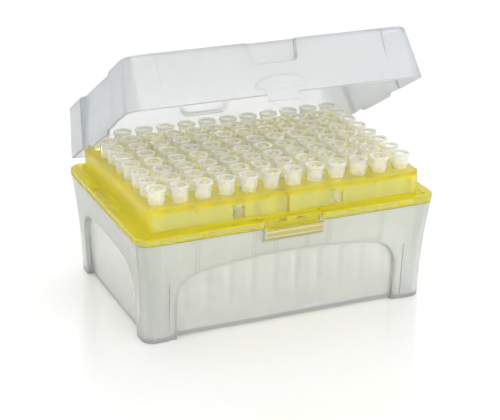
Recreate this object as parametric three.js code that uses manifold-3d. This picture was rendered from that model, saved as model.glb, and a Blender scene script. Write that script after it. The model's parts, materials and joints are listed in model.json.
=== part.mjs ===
// Hinged storage box of pipette tips: a moulded tub, a coloured rack that snaps into it, a clip-on
// lid and a full set of 96 tips standing in the rack.  Millimetres, +Z up, the latch faces -Y.
// The lid stands part open, as it is left on a bench.
import * as THREE from 'three';
import { mergeVertices } from 'three/addons/utils/BufferGeometryUtils.js';
import Module from 'manifold-3d';

// ---- driving dimensions ------------------------------------------------------------------------

// Fits between separate pieces.
const CLEARANCE = 0.3;
const OVERSHOOT = 5;

// Facets of the round forms, and the least radius that still counts as a corner.
const CORNER_STEPS = 2;
const ARC_STEPS = 3;
const PIN_SIDES = 12;
const KNUCKLE_SIDES = 16;
const LIFT_SIDES = 16;
const SHARPEST_RADIUS = 0.2;

// Tip layout.
const PITCH = 9;
const COLUMNS = 12;
const ROWS = 8;
const LOOSE_ROWS = 4;

// Tip.
const TIP_LENGTH = 51;
const TIP_PROUD = 6.2;
const TIP_RIM_RADIUS = 3.65;
const TIP_RIM_HEIGHT = 1.2;
const TIP_COLLAR_RADIUS = 3.15;
const TIP_BODY_RADIUS = 2.65;
const TIP_MOUTH_RADIUS = 2.6;
const TIP_END_RADIUS = 0.5;
const TIP_ORIFICE_RADIUS = 0.25;
const TIP_SIDES = 8;
const TIP_TURN = Math.PI / TIP_SIDES;

// Tub.
const TUB_HEIGHT = 40.1;
const TUB_TOP_LENGTH = 120;
const TUB_TOP_WIDTH = 84;
const TUB_FOOT_LENGTH = 114.8;
const TUB_FOOT_WIDTH = 78.1;
const TUB_TOP_RADIUS = 5;
const TUB_FOOT_RADIUS = 4;
const TUB_SAG = 0.6;
const TUB_WALL = 1.6;
const TUB_FLOOR = 1.4;
const TUB_RIM_HEIGHT = 1.6;

// Arched panels sunk in the tub's four sides, and the shallow apron round the long ones.
const PANEL_DEPTH = 2.2;
const PANEL_LIFT = 0.4;
const LONG_ARCH = { halfWidth: 44.7, apex: 29.3, crownRadius: 233, cornerRadius: 11 };
const END_ARCH = { halfWidth: 29.7, apex: 29.9, crownRadius: 182, cornerRadius: 11 };
const APRON_DEPTH = 0.5;
const APRON_HALF_WIDTH = 48;
const APRON_HEIGHT = 31;
const APRON_BEVEL = 2;

// Stiffening ribs on the inside of the tub's long walls, above the arch.
const RIB_THICKNESS = 1.2;
const RIB_FOOT = 24;
const LONG_RIB_PLACES = [-37.4, -15.2, 15.2, 37.4];
const CATCH_RIB_PLACES = [-6.5, 6.5];
const CATCH_RIB_DROP = 5.1;

// Pocket on the tub's front wall that takes the rack's tongue.
const CATCH_DEPTH = 1.8;
const CATCH_HEIGHT = 2.9;
const CATCH_WALL = 0.8;

// Rack.
const LIP_OVERHANG = 0.4;
const LIP_HEIGHT = 2.8;
const LIP_WALL = 0.8;
const LIP_RADIUS = 5.4;
const DECK_THICKNESS = 1.2;
const PLATFORM_END_MARGIN = 1;
const PLATFORM_SIDE_MARGIN = 2;
const PLATFORM_RADIUS = 3;
const PLATFORM_HEIGHT = 9;
const PLATFORM_WALL = 1.2;
const PLATE_THICKNESS = 1.6;
const PLATE_RIB_THICKNESS = 1;
const PLATE_RIB_DEPTH = 2;
const PLATE_RIB_COLUMNS = [-4, -2, 2, 4];

// Sight windows in the platform's long walls.
const WINDOW_SIZE = 4.7;
const WINDOW_PLACE = 20;
const WINDOW_SILL = 1.2;

// Moulded pockets round the lip, between its stiffeners.
const LIP_POCKET_DEPTH = 0.35;
const LIP_POCKET_MARGIN = 0.5;
const LIP_STIFFENER = 1;
const LIP_STIFFENER_PLACES = [13.5, 35, 45, 51, 56.4];
const END_STIFFENER_PLACES = [16, 28, 35, 38.4];

// Tongue at the front of the rack, which the lid's tab closes over.
const TONGUE_HALF_WIDTH = 10.9;
const TONGUE_SETBACK = 1.55;
const TONGUE_THICKNESS = 1.2;
const TONGUE_NOTCH_GAP = 1;
const TONGUE_FOOT_HEIGHT = 1.5;
const TONGUE_SLOT_NEAR = 1.9;
const TONGUE_SLOT_FAR = 5.7;
const TONGUE_SLOT_HEIGHT = 0.8;
const TONGUE_SLOT_DROP = 0.7;
const NOTCH_RIDGE_THICKNESS = 1.2;
const NOTCH_RIDGE_LENGTH = 2.2;
const NOTCH_RIDGE_HEIGHT = 0.7;

// Corner ridges on the deck, which centre the lid.
const RIDGE_THICKNESS = 0.8;
const RIDGE_LENGTH = 3.6;
const RIDGE_HEIGHT = 0.5;
const RIDGE_SETBACK = 2.9;

// Lid.
const LID_END_SETBACK = 0.8;
const LID_SIDE_SETBACK = 0.4;
const LID_HEIGHT = 20.4;
const LID_WALL = 1.2;
const LID_END_DRAFT = 2.6;
const LID_LONG_DRAFT = 1;
const LID_RIM_RADIUS = 5;
const LID_ROOF_RADIUS = 4;
const LID_ROOF_BEVEL = 0.9;
const LID_END_PANEL_HALF_WIDTH = 20.7;
const LID_END_PANEL_RIM_DEPTH = 0.8;
const LID_END_PANEL_ROOF_DEPTH = 2.4;
const LID_LONG_PANEL_HALF_WIDTH = 45;
const LID_LONG_PANEL_DEPTH = 0.8;
const LID_LONG_PANEL_FOOT = 6;
const STACKING_POCKET = { foot: 11.9, footHalfWidth: 9.2, roofHalfWidth: 9.9, depth: 2.2, radius: 2 };

// Tongues under the lid's ends and the slots they drop into.
const END_TONGUE_HALF_WIDTH = 13;
const END_TONGUE_TAPER = 1.5;
const END_TONGUE_DROP = 1.1;

// Latch on the lid: a lens-shaped finger lift and a tab with two hooks.
const LIFT_HALF_WIDTH = 10.3;
const LIFT_DEPTH = 1.8;
const LIFT_MIDDLE = 3.1;
const LIFT_RISE = 4.2;
const LIFT_FALL = 1.1;
const TAB_HALF_WIDTH = 6;
const TAB_THICKNESS = 0.9;
const TAB_DROP = 2.6;
const TAB_ROOT = 3.4;
const HOOK_PROUD = 0.5;
const HOOK_NEAR = 2.2;
const HOOK_HEIGHT = 1.6;

// Hinge behind the rear wall.
const HINGE_PLACE = 36;
const HINGE_BACK = 3.7;
const HINGE_RISE = 1.2;
const PIN_RADIUS = 1.2;
const KNUCKLE_RADIUS = 2.6;
const KNUCKLE_WIDTH = 6;
const KNUCKLE_ARM_RISE = 5;
const SNAP_GAP = 2;
const SNAP_ANGLE = THREE.MathUtils.degToRad(-60);
const EAR_THICKNESS = 1.8;
const EAR_DROP = 9.1;
const EAR_REACH = 2.9;
const EAR_CROWN_TILTS = [15, 30].map(THREE.MathUtils.degToRad);
const EAR_STOP_REACH = 2.2;
const LID_ANGLE = THREE.MathUtils.degToRad(30);
const LID_FULL_ANGLE = THREE.MathUtils.degToRad(110);

// ---- places worked out from them ----------------------------------------------------------------

const LIP_BOTTOM = TUB_HEIGHT + CLEARANCE;
const DECK_TOP = LIP_BOTTOM + LIP_HEIGHT;
const DECK_BOTTOM = DECK_TOP - DECK_THICKNESS;
const PLATE_TOP = DECK_TOP + PLATFORM_HEIGHT;
const TIP_TOP = PLATE_TOP + TIP_PROUD;
const LIP_LENGTH = TUB_TOP_LENGTH + 2 * LIP_OVERHANG;
const LIP_WIDTH = TUB_TOP_WIDTH + 2 * LIP_OVERHANG;
const PLATFORM_LENGTH = COLUMNS * PITCH + 2 * PLATFORM_END_MARGIN;
const PLATFORM_WIDTH = ROWS * PITCH + 2 * PLATFORM_SIDE_MARGIN;
const LID_LENGTH = LIP_LENGTH - 2 * LID_END_SETBACK;
const LID_WIDTH = LIP_WIDTH - 2 * LID_SIDE_SETBACK;
const LID_RIM = DECK_TOP + CLEARANCE;
const TONGUE_FACE = LIP_WIDTH / 2 - TONGUE_SETBACK;
const TONGUE_BACK = TONGUE_FACE - TONGUE_THICKNESS;
const CATCH_FACE = TUB_TOP_WIDTH / 2 + CATCH_DEPTH;
const CATCH_BOTTOM = TUB_HEIGHT - CATCH_HEIGHT;
const POCKET_FLOOR = CATCH_BOTTOM + CATCH_WALL;
const POCKET_HALF_WIDTH = TONGUE_HALF_WIDTH + CLEARANCE;
const NOTCH_HALF_WIDTH = TONGUE_HALF_WIDTH + TONGUE_NOTCH_GAP;
const HINGE_Y = LID_WIDTH / 2 + HINGE_BACK;
const HINGE_Z = LID_RIM + HINGE_RISE;
const EAR_FOOT = TUB_HEIGHT - EAR_DROP;
const CATCH_RIB_TOP = TUB_HEIGHT - CATCH_RIB_DROP;

// ---- geometry tools ------------------------------------------------------------------------------

const wasm = await Module();
wasm.setup();

function toSolid(geometry) {
  const bare = geometry.clone();
  bare.deleteAttribute('normal');
  bare.deleteAttribute('uv');
  const merged = mergeVertices(bare, 1e-4);
  const vertProperties = new Float32Array(merged.attributes.position.array);
  const triVerts = new Uint32Array(merged.index.array);
  return new wasm.Manifold(new wasm.Mesh({ numProp: 3, vertProperties, triVerts }));
}

function toGeometry(solid) {
  const { vertProperties, triVerts } = solid.getMesh();
  const geometry = new THREE.BufferGeometry();
  geometry.setAttribute('position', new THREE.BufferAttribute(vertProperties, 3));
  geometry.setIndex(new THREE.BufferAttribute(triVerts, 1));
  geometry.computeVertexNormals();
  return geometry;
}

function join(solids) {
  return solids.reduce((whole, piece) => whole.add(piece));
}

function cut(solid, tools) {
  return solid.subtract(join(tools));
}

// Box between two corners.
function block(low, high) {
  const size = high.map((value, axis) => value - low[axis]);
  const geometry = new THREE.BoxGeometry(...size);
  geometry.translate(...low.map((value, axis) => value + size[axis] / 2));
  return toSolid(geometry);
}

// The same solid on both sides of x = 0 and, when asked, of y = 0.
function mirrored(solid, alongY = false) {
  const pair = solid.add(solid.mirror([1, 0, 0]));
  return alongY ? pair.add(pair.mirror([0, 1, 0])) : pair;
}

// Profile drawn in (y, z), extruded along X between two places.
function alongX(shape, from, to, curveSegments = ARC_STEPS) {
  const geometry = new THREE.ExtrudeGeometry(shape, { depth: to - from, bevelEnabled: false, curveSegments });
  const turn = new THREE.Matrix4().makeBasis(
    new THREE.Vector3(0, 1, 0), new THREE.Vector3(0, 0, 1), new THREE.Vector3(1, 0, 0));
  geometry.applyMatrix4(turn);
  geometry.translate(from, 0, 0);
  return toSolid(geometry);
}

// Profile drawn in (x, z), extruded along Y between two places.
function alongY(shape, from, to, curveSegments = ARC_STEPS) {
  const geometry = new THREE.ExtrudeGeometry(shape, { depth: to - from, bevelEnabled: false, curveSegments });
  geometry.rotateX(Math.PI / 2);
  geometry.translate(0, to, 0);
  return toSolid(geometry);
}

function polygon(points) {
  return new THREE.Shape(points.map(([x, y]) => new THREE.Vector2(x, y)));
}

// Ring of points round a rectangle with rounded corners, at one height.
function ring(halfLength, halfWidth, radius, z) {
  const corner = Math.max(radius, SHARPEST_RADIUS);
  const shape = new THREE.Shape();
  const x = halfLength - corner;
  const y = halfWidth - corner;
  shape.absarc(x, y, corner, 0, Math.PI / 2);
  shape.absarc(-x, y, corner, Math.PI / 2, Math.PI);
  shape.absarc(-x, -y, corner, Math.PI, 1.5 * Math.PI);
  shape.absarc(x, -y, corner, 1.5 * Math.PI, 2 * Math.PI);
  const points = shape.getPoints(CORNER_STEPS);
  points.pop();
  return points.map((point) => new THREE.Vector3(point.x, point.y, z));
}

// Solid skinned over convex rings stacked upwards, with flat ends.
function loft(rings) {
  const count = rings[0].length;
  const index = [];
  for (let level = 0; level + 1 < rings.length; level += 1) {
    for (let i = 0; i < count; i += 1) {
      const a = level * count + i;
      const b = level * count + (i + 1) % count;
      index.push(a, b, b + count, a, b + count, a + count);
    }
  }
  const last = (rings.length - 1) * count;
  for (let i = 1; i + 1 < count; i += 1) {
    index.push(0, i + 1, i);
    index.push(last, last + i, last + i + 1);
  }
  const geometry = new THREE.BufferGeometry().setFromPoints(rings.flat());
  geometry.setIndex(index);
  return toSolid(geometry);
}

// Upright plate with rounded corners.
function plate(length, width, radius, bottom, top) {
  return loft([ring(length / 2, width / 2, radius, bottom), ring(length / 2, width / 2, radius, top)]);
}

// Radius of the corners of a polygon that has the area of a circle.
function cornerRadius(radius, sides) {
  const angle = 2 * Math.PI / sides;
  return radius * Math.sqrt(angle / Math.sin(angle));
}

// ---- tip -------------------------------------------------------------------------------------------

// A tip's flats, like those of its hole, face along X and Y.
function tipSolid(seatGap) {
  const seat = PLATE_TOP + seatGap;
  const end = TIP_TOP - TIP_LENGTH;
  const profile = [
    [TIP_ORIFICE_RADIUS, end],
    [TIP_END_RADIUS, end],
    [TIP_BODY_RADIUS, seat],
    [TIP_COLLAR_RADIUS, seat],
    [TIP_COLLAR_RADIUS, TIP_TOP - TIP_RIM_HEIGHT],
    [TIP_RIM_RADIUS, TIP_TOP - TIP_RIM_HEIGHT],
    [TIP_RIM_RADIUS, TIP_TOP],
    [TIP_MOUTH_RADIUS, TIP_TOP],
    [TIP_ORIFICE_RADIUS, end],
  ];
  return tipTurned(profile);
}

function tipTurned(profile) {
  const points = profile.map(([radius, z]) => new THREE.Vector2(cornerRadius(radius, TIP_SIDES), z));
  const geometry = new THREE.LatheGeometry(points, TIP_SIDES, TIP_TURN);
  geometry.rotateX(Math.PI / 2);
  return toSolid(geometry);
}

function tipPlace(row, column) {
  const x = (column - (COLUMNS - 1) / 2) * PITCH;
  const y = (row - (ROWS - 1) / 2) * PITCH;
  return [x, y, 0];
}

function eachTip(firstRow, lastRow, make) {
  const made = [];
  for (let row = firstRow; row < lastRow; row += 1) {
    for (let column = 0; column < COLUMNS; column += 1) {
      made.push(make(row, column));
    }
  }
  return made;
}

// ---- tub -------------------------------------------------------------------------------------------

function tubRing(inset, z) {
  const share = Math.min(Math.max(z / TUB_HEIGHT, 0), 1);
  const sag = TUB_SAG * 4 * share * (1 - share);
  const halfLength = THREE.MathUtils.lerp(TUB_FOOT_LENGTH, TUB_TOP_LENGTH, share) / 2 - sag - inset;
  const halfWidth = THREE.MathUtils.lerp(TUB_FOOT_WIDTH, TUB_TOP_WIDTH, share) / 2 - sag - inset;
  const radius = THREE.MathUtils.lerp(TUB_FOOT_RADIUS, TUB_TOP_RADIUS, share) - inset;
  return ring(halfLength, halfWidth, radius, z);
}

function tubLoft(inset, bottom, top) {
  const levels = [bottom, TUB_HEIGHT / 3, 2 * TUB_HEIGHT / 3, TUB_HEIGHT];
  if (top > TUB_HEIGHT) {
    levels.push(top);
  }
  return loft(levels.map((z) => tubRing(inset, z)));
}

// Basket-handle arch: upright legs, round shoulders and a flat crown, all tangent.
function archShape(arch, grow) {
  const halfWidth = arch.halfWidth + grow;
  const corner = arch.cornerRadius + grow;
  const crown = arch.crownRadius + grow;
  const crownCentre = arch.apex + grow - crown;
  const cornerX = halfWidth - corner;
  const tilt = Math.asin(cornerX / (crown - corner));
  const cornerZ = crownCentre + (crown - corner) * Math.cos(tilt);
  const shape = new THREE.Shape();
  shape.moveTo(-halfWidth, -OVERSHOOT);
  shape.lineTo(halfWidth, -OVERSHOOT);
  shape.absarc(cornerX, cornerZ, corner, 0, Math.PI / 2 - tilt);
  shape.absarc(0, crownCentre, crown, Math.PI / 2 - tilt, Math.PI / 2 + tilt);
  shape.absarc(-cornerX, cornerZ, corner, Math.PI / 2 + tilt, Math.PI);
  return shape;
}

// Everything that the four arches cut away from the sides.
function archCuts(grow) {
  const outerY = TUB_TOP_WIDTH / 2 + OVERSHOOT;
  const outerX = TUB_TOP_LENGTH / 2 + OVERSHOOT;
  const innerY = TUB_FOOT_WIDTH / 2 - 2 * (PANEL_DEPTH + grow) - TUB_SAG;
  const innerX = TUB_FOOT_LENGTH / 2 - 2 * (PANEL_DEPTH + grow) - TUB_SAG;
  const front = alongY(archShape(LONG_ARCH, grow), -outerY, -innerY);
  const right = alongX(archShape(END_ARCH, grow), innerX, outerX);
  return [front, front.mirror([0, 1, 0]), right, right.mirror([1, 0, 0])];
}

// Shallow step that leaves the corner posts of the long sides proud.
function apronCuts(inset) {
  const face = (z) => tubRing(inset + APRON_DEPTH, z).reduce((most, point) => Math.max(most, point.y), 0);
  const outer = TUB_TOP_WIDTH / 2 + OVERSHOOT;
  const top = APRON_HEIGHT + inset;
  const bend = top - APRON_BEVEL;
  const profile = polygon([
    [outer, -OVERSHOOT],
    [outer, top + OVERSHOOT],
    [face(top) + APRON_DEPTH + OVERSHOOT, top + OVERSHOOT],
    [face(top) + APRON_DEPTH, top],
    [face(bend), bend],
    [face(bend / 2), bend / 2],
    [face(0), 0],
    [face(0), -OVERSHOOT],
  ]);
  const rear = alongX(profile, -APRON_HALF_WIDTH - inset, APRON_HALF_WIDTH + inset);
  return [rear, rear.mirror([0, 1, 0])];
}

// Outer form of the tub, or with an inset the hollow inside its walls.
function tubForm(inset, floor, top) {
  const corners = cut(tubLoft(inset, floor, top), [...archCuts(inset), ...apronCuts(inset)]);
  return corners.add(tubLoft(inset + PANEL_DEPTH, floor + PANEL_LIFT, top));
}

function tubRibs() {
  const outer = TUB_TOP_WIDTH / 2 - TUB_WALL / 2;
  const inner = TUB_TOP_WIDTH / 2 - TUB_WALL - PANEL_DEPTH;
  const rib = (x, side, top) => {
    const [near, far] = side < 0 ? [-outer, -inner] : [inner, outer];
    return block([x - RIB_THICKNESS / 2, near, RIB_FOOT], [x + RIB_THICKNESS / 2, far, top]);
  };
  const ribs = LONG_RIB_PLACES.flatMap((x) => [rib(x, -1, TUB_HEIGHT), rib(x, 1, TUB_HEIGHT)]);
  const shortRibs = CATCH_RIB_PLACES.map((x) => rib(x, -1, CATCH_RIB_TOP));
  return join([...ribs, ...shortRibs]).intersect(tubForm(TUB_WALL / 2, TUB_FLOOR, TUB_HEIGHT));
}

function tubCatch() {
  const halfWidth = POCKET_HALF_WIDTH + CATCH_WALL;
  const root = TUB_TOP_WIDTH / 2 - TUB_WALL / 2;
  const profile = polygon([
    [-root, CATCH_BOTTOM - CATCH_DEPTH],
    [-root, TUB_HEIGHT],
    [-CATCH_FACE, TUB_HEIGHT],
    [-CATCH_FACE, CATCH_BOTTOM],
  ]);
  return alongX(profile, -halfWidth, halfWidth);
}

function tubCatchPocket() {
  return block(
    [-POCKET_HALF_WIDTH, -(CATCH_FACE - CATCH_WALL), POCKET_FLOOR],
    [POCKET_HALF_WIDTH, -(TONGUE_BACK - CLEARANCE), TUB_HEIGHT + OVERSHOOT]);
}

// Turns a point of the closed lid's side view about the hinge.
function swing(y, z, angle) {
  const point = new THREE.Vector2(y - HINGE_Y, z - HINGE_Z);
  point.rotateAround(new THREE.Vector2(0, 0), -angle);
  return [HINGE_Y + point.x, HINGE_Z + point.y];
}

// Side view of one ear, whose rear top corner stops the lid at its widest.
function earShape() {
  const wall = TUB_TOP_WIDTH / 2 - TUB_WALL / 2;
  const front = LIP_WIDTH / 2 + CLEARANCE;
  const stop = swing(LID_WIDTH / 2 + CLEARANCE, HINGE_Z + EAR_STOP_REACH, LID_FULL_ANGLE);
  const [nearTilt, farTilt] = EAR_CROWN_TILTS;
  return polygon([
    [wall, EAR_FOOT],
    [stop[0], HINGE_Z - EAR_REACH],
    stop,
    [HINGE_Y, HINGE_Z + EAR_REACH * Math.cos(nearTilt)],
    [HINGE_Y - EAR_REACH * Math.sin(farTilt), HINGE_Z + EAR_REACH * Math.cos(farTilt)],
    [front, HINGE_Z + PIN_RADIUS],
    [front, TUB_HEIGHT],
    [wall, TUB_HEIGHT],
  ]);
}

// Round section about the hinge axis.
function disc(radius, sides) {
  const circle = new THREE.Shape();
  circle.absarc(HINGE_Y, HINGE_Z, radius, 0, 2 * Math.PI);
  const points = circle.getPoints(sides / 2);
  points.pop();
  return new THREE.Shape(points);
}

function hingeEars() {
  const inner = KNUCKLE_WIDTH / 2 + CLEARANCE;
  const outer = inner + EAR_THICKNESS;
  const pinReach = inner + EAR_THICKNESS / 2;
  const ear = earShape();
  return mirrored(join([
    alongX(ear, HINGE_PLACE + inner, HINGE_PLACE + outer),
    alongX(ear, HINGE_PLACE - outer, HINGE_PLACE - inner),
    alongX(disc(PIN_RADIUS, PIN_SIDES), HINGE_PLACE - pinReach, HINGE_PLACE + pinReach),
  ]));
}

function tubRim() {
  const length = LIP_LENGTH - 2 * (LIP_WALL + CLEARANCE);
  const width = LIP_WIDTH - 2 * (LIP_WALL + CLEARANCE);
  const radius = LIP_RADIUS - LIP_WALL - CLEARANCE;
  return plate(length, width, radius, TUB_HEIGHT - TUB_RIM_HEIGHT, TUB_HEIGHT + TUB_RIM_HEIGHT);
}

function tub() {
  const outer = join([tubForm(0, 0, TUB_HEIGHT), tubRim(), tubCatch(), hingeEars()]);
  const hollow = tubForm(TUB_WALL, TUB_FLOOR, TUB_HEIGHT + OVERSHOOT);
  return cut(outer, [hollow]).add(tubRibs()).subtract(tubCatchPocket());
}

// ---- rack ------------------------------------------------------------------------------------------

// Pockets along one long and one end side of the lip, mirrored to the others.
function lipPockets() {
  const low = LIP_BOTTOM + LIP_POCKET_MARGIN;
  const high = DECK_BOTTOM + LIP_POCKET_MARGIN;
  const half = LIP_STIFFENER / 2;
  const pockets = [];
  LIP_STIFFENER_PLACES.slice(1).forEach((place, i) => {
    const from = LIP_STIFFENER_PLACES[i] + half;
    const face = LIP_WIDTH / 2 - LIP_POCKET_DEPTH;
    pockets.push(block([from, face, low], [place - half, face + OVERSHOOT, high]));
  });
  END_STIFFENER_PLACES.slice(1).forEach((place, i) => {
    const from = END_STIFFENER_PLACES[i] + half;
    const face = LIP_LENGTH / 2 - LIP_POCKET_DEPTH;
    pockets.push(block([face, from, low], [face + OVERSHOOT, place - half, high]));
  });
  return mirrored(join(pockets), true);
}

// Deck with its lip, and the raised platform, open underneath.
function rackShell() {
  const lip = plate(LIP_LENGTH, LIP_WIDTH, LIP_RADIUS, LIP_BOTTOM, DECK_TOP);
  const underLip = plate(
    LIP_LENGTH - 2 * LIP_WALL, LIP_WIDTH - 2 * LIP_WALL, LIP_RADIUS - LIP_WALL,
    LIP_BOTTOM - OVERSHOOT, DECK_BOTTOM);
  const platform = plate(PLATFORM_LENGTH, PLATFORM_WIDTH, PLATFORM_RADIUS, DECK_BOTTOM, PLATE_TOP);
  const underPlate = plate(
    PLATFORM_LENGTH - 2 * PLATFORM_WALL, PLATFORM_WIDTH - 2 * PLATFORM_WALL,
    PLATFORM_RADIUS - PLATFORM_WALL, DECK_BOTTOM - OVERSHOOT, PLATE_TOP - PLATE_THICKNESS);
  return lip.subtract(underLip).add(platform).subtract(underPlate);
}

// Ribs under the plate that run from front to back between the tips.
function plateRibs() {
  const half = PLATE_RIB_THICKNESS / 2;
  const reach = PLATFORM_WIDTH / 2 - PLATFORM_WALL / 2;
  const top = PLATE_TOP - PLATE_THICKNESS / 2;
  const rib = (x, bottom) => block([x - half, -reach, bottom], [x + half, reach, top]);
  const shallow = PLATE_TOP - PLATE_THICKNESS - PLATE_RIB_DEPTH;
  return join([rib(0, DECK_BOTTOM), ...PLATE_RIB_COLUMNS.map((column) => rib(column * PITCH, shallow))]);
}

function sightWindows() {
  const half = WINDOW_SIZE / 2;
  const outer = PLATFORM_WIDTH / 2;
  const sill = DECK_TOP + WINDOW_SILL;
  return mirrored(block(
    [WINDOW_PLACE - half, outer - 2 * PLATFORM_WALL, sill],
    [WINDOW_PLACE + half, outer + OVERSHOOT, sill + WINDOW_SIZE]), true);
}

function notch() {
  return block(
    [-NOTCH_HALF_WIDTH, -LIP_WIDTH / 2 - OVERSHOOT, LIP_BOTTOM - OVERSHOOT],
    [NOTCH_HALF_WIDTH, -TONGUE_FACE, DECK_TOP + OVERSHOOT]);
}

// Tongue with a foot that hooks into the tub's pocket, and ridges beside the notch.
function tongue() {
  const foot = POCKET_FLOOR + CLEARANCE;
  const footFace = CATCH_FACE - CATCH_WALL - CLEARANCE;
  const profile = polygon([
    [-TONGUE_BACK, DECK_TOP],
    [-TONGUE_FACE, DECK_TOP],
    [-TONGUE_FACE, foot + TONGUE_FOOT_HEIGHT],
    [-footFace, foot + TONGUE_FOOT_HEIGHT],
    [-footFace, foot],
    [-TONGUE_BACK, foot],
  ]);
  const slotTop = DECK_TOP - TONGUE_SLOT_DROP;
  const slots = mirrored(block(
    [TONGUE_SLOT_NEAR, -TONGUE_FACE - CLEARANCE, slotTop - TONGUE_SLOT_HEIGHT],
    [TONGUE_SLOT_FAR, -TONGUE_BACK + CLEARANCE, slotTop]));
  return { body: alongX(profile, -TONGUE_HALF_WIDTH, TONGUE_HALF_WIDTH), slots };
}

function notchRidges() {
  const outer = LID_WIDTH / 2 - LID_WALL - CLEARANCE;
  const profile = polygon([
    [-outer, DECK_TOP - DECK_THICKNESS / 2],
    [-outer + NOTCH_RIDGE_LENGTH, DECK_TOP - DECK_THICKNESS / 2],
    [-outer + NOTCH_RIDGE_LENGTH, DECK_TOP + NOTCH_RIDGE_HEIGHT],
    [-outer, DECK_TOP],
  ].reverse());
  return mirrored(alongX(profile, NOTCH_HALF_WIDTH, NOTCH_HALF_WIDTH + NOTCH_RIDGE_THICKNESS));
}

function cornerRidges() {
  const outerX = LID_LENGTH / 2 - RIDGE_SETBACK;
  const outerY = LID_WIDTH / 2 - RIDGE_SETBACK;
  const bottom = DECK_TOP - DECK_THICKNESS / 2;
  const top = DECK_TOP + RIDGE_HEIGHT;
  const along = block([outerX - RIDGE_LENGTH, outerY - RIDGE_THICKNESS, bottom], [outerX, outerY, top]);
  const across = block([outerX - RIDGE_THICKNESS, outerY - RIDGE_LENGTH, bottom], [outerX, outerY, top]);
  return mirrored(along.add(across), true);
}

// Slots in the deck's ends for the lid's tongues.
function endSlots() {
  const outer = LID_LENGTH / 2 - LID_END_PANEL_RIM_DEPTH + CLEARANCE;
  const inner = LID_LENGTH / 2 - LID_END_PANEL_RIM_DEPTH - LID_WALL - CLEARANCE;
  const half = END_TONGUE_HALF_WIDTH + CLEARANCE;
  return mirrored(block([inner, -half, DECK_BOTTOM - OVERSHOOT], [outer, half, DECK_TOP + OVERSHOOT]));
}

function tipHole() {
  const radius = cornerRadius(TIP_BODY_RADIUS, TIP_SIDES) + CLEARANCE;
  const height = PLATE_THICKNESS + 2 * CLEARANCE;
  const geometry = new THREE.CylinderGeometry(radius, radius, height, TIP_SIDES, 1, false, TIP_TURN);
  geometry.rotateX(Math.PI / 2);
  geometry.translate(0, 0, PLATE_TOP - PLATE_THICKNESS / 2);
  return toSolid(geometry);
}

// Rack with holes for the loose tips; the rows behind them are full and drawn in one with it.
function rack() {
  const { body, slots } = tongue();
  const hole = tipHole();
  const holes = eachTip(0, LOOSE_ROWS, (row, column) => hole.translate(tipPlace(row, column)));
  const fusedTip = tipSolid(0);
  const tips = eachTip(LOOSE_ROWS, ROWS, (row, column) => fusedTip.translate(tipPlace(row, column)));
  const bore = tipBore();
  const bores = eachTip(LOOSE_ROWS, ROWS, (row, column) => bore.translate(tipPlace(row, column)));
  const openings = [notch(), lipPockets(), sightWindows(), endSlots(), ...holes];
  const plain = cut(rackShell().add(plateRibs()), openings);
  const fitted = join([plain, body, notchRidges(), cornerRidges()]).subtract(slots);
  return cut(join([fitted, ...tips]), bores);
}

// Inside of a tip, which keeps the plate from closing the fused ones.
function tipBore() {
  return tipTurned([
    [0, TIP_TOP - TIP_LENGTH],
    [TIP_ORIFICE_RADIUS, TIP_TOP - TIP_LENGTH],
    [TIP_MOUTH_RADIUS, TIP_TOP],
    [0, TIP_TOP],
  ]);
}

// ---- lid -------------------------------------------------------------------------------------------

function lidLoft(inset) {
  const rimX = LID_LENGTH / 2 - inset;
  const rimY = LID_WIDTH / 2 - inset;
  const bevel = LID_ROOF_BEVEL;
  const rings = [];
  if (inset > 0) {
    rings.push(ring(rimX, rimY, LID_RIM_RADIUS - inset, LID_RIM - OVERSHOOT));
  }
  rings.push(ring(rimX, rimY, LID_RIM_RADIUS - inset, LID_RIM));
  rings.push(ring(rimX - LID_END_DRAFT, rimY - LID_LONG_DRAFT, LID_ROOF_RADIUS - inset,
    LID_RIM + LID_HEIGHT - inset - bevel));
  rings.push(ring(rimX - LID_END_DRAFT - bevel, rimY - LID_LONG_DRAFT - bevel,
    LID_ROOF_RADIUS - inset - bevel / 2, LID_RIM + LID_HEIGHT - inset));
  return loft(rings);
}

// Sunken middle panels of the two ends.
function lidEndCuts(inset) {
  const rim = LID_LENGTH / 2 - LID_END_PANEL_RIM_DEPTH - inset;
  const roof = LID_LENGTH / 2 - LID_END_DRAFT - LID_END_PANEL_ROOF_DEPTH - inset;
  const slope = (rim - roof) / LID_HEIGHT;
  const low = -OVERSHOOT;
  const high = LID_HEIGHT + OVERSHOOT;
  const outer = LID_LENGTH / 2 + OVERSHOOT;
  const profile = polygon([
    [rim - slope * low, LID_RIM + low],
    [outer, LID_RIM + low],
    [outer, LID_RIM + high],
    [rim - slope * high, LID_RIM + high],
  ]);
  const half = LID_END_PANEL_HALF_WIDTH + inset;
  return mirrored(alongY(profile, -half, half));
}

// Middle of the long sides, which leans in above the foot line and leaves the corner posts proud.
function lidLongCuts(inset) {
  const wall = (height) => LID_WIDTH / 2 - LID_LONG_DRAFT * height / LID_HEIGHT - inset;
  const outer = LID_WIDTH / 2 + OVERSHOOT;
  const top = LID_RIM + LID_HEIGHT + OVERSHOOT;
  const profile = polygon([
    [wall(LID_LONG_PANEL_FOOT), LID_RIM + LID_LONG_PANEL_FOOT],
    [outer, LID_RIM + LID_LONG_PANEL_FOOT],
    [outer, top],
    [wall(LID_HEIGHT) - LID_LONG_PANEL_DEPTH, top],
    [wall(LID_HEIGHT) - LID_LONG_PANEL_DEPTH, LID_RIM + LID_HEIGHT],
  ]);
  const half = LID_LONG_PANEL_HALF_WIDTH + inset;
  const rear = alongX(profile, -half, half);
  return rear.add(rear.mirror([0, 1, 0]));
}

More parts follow.
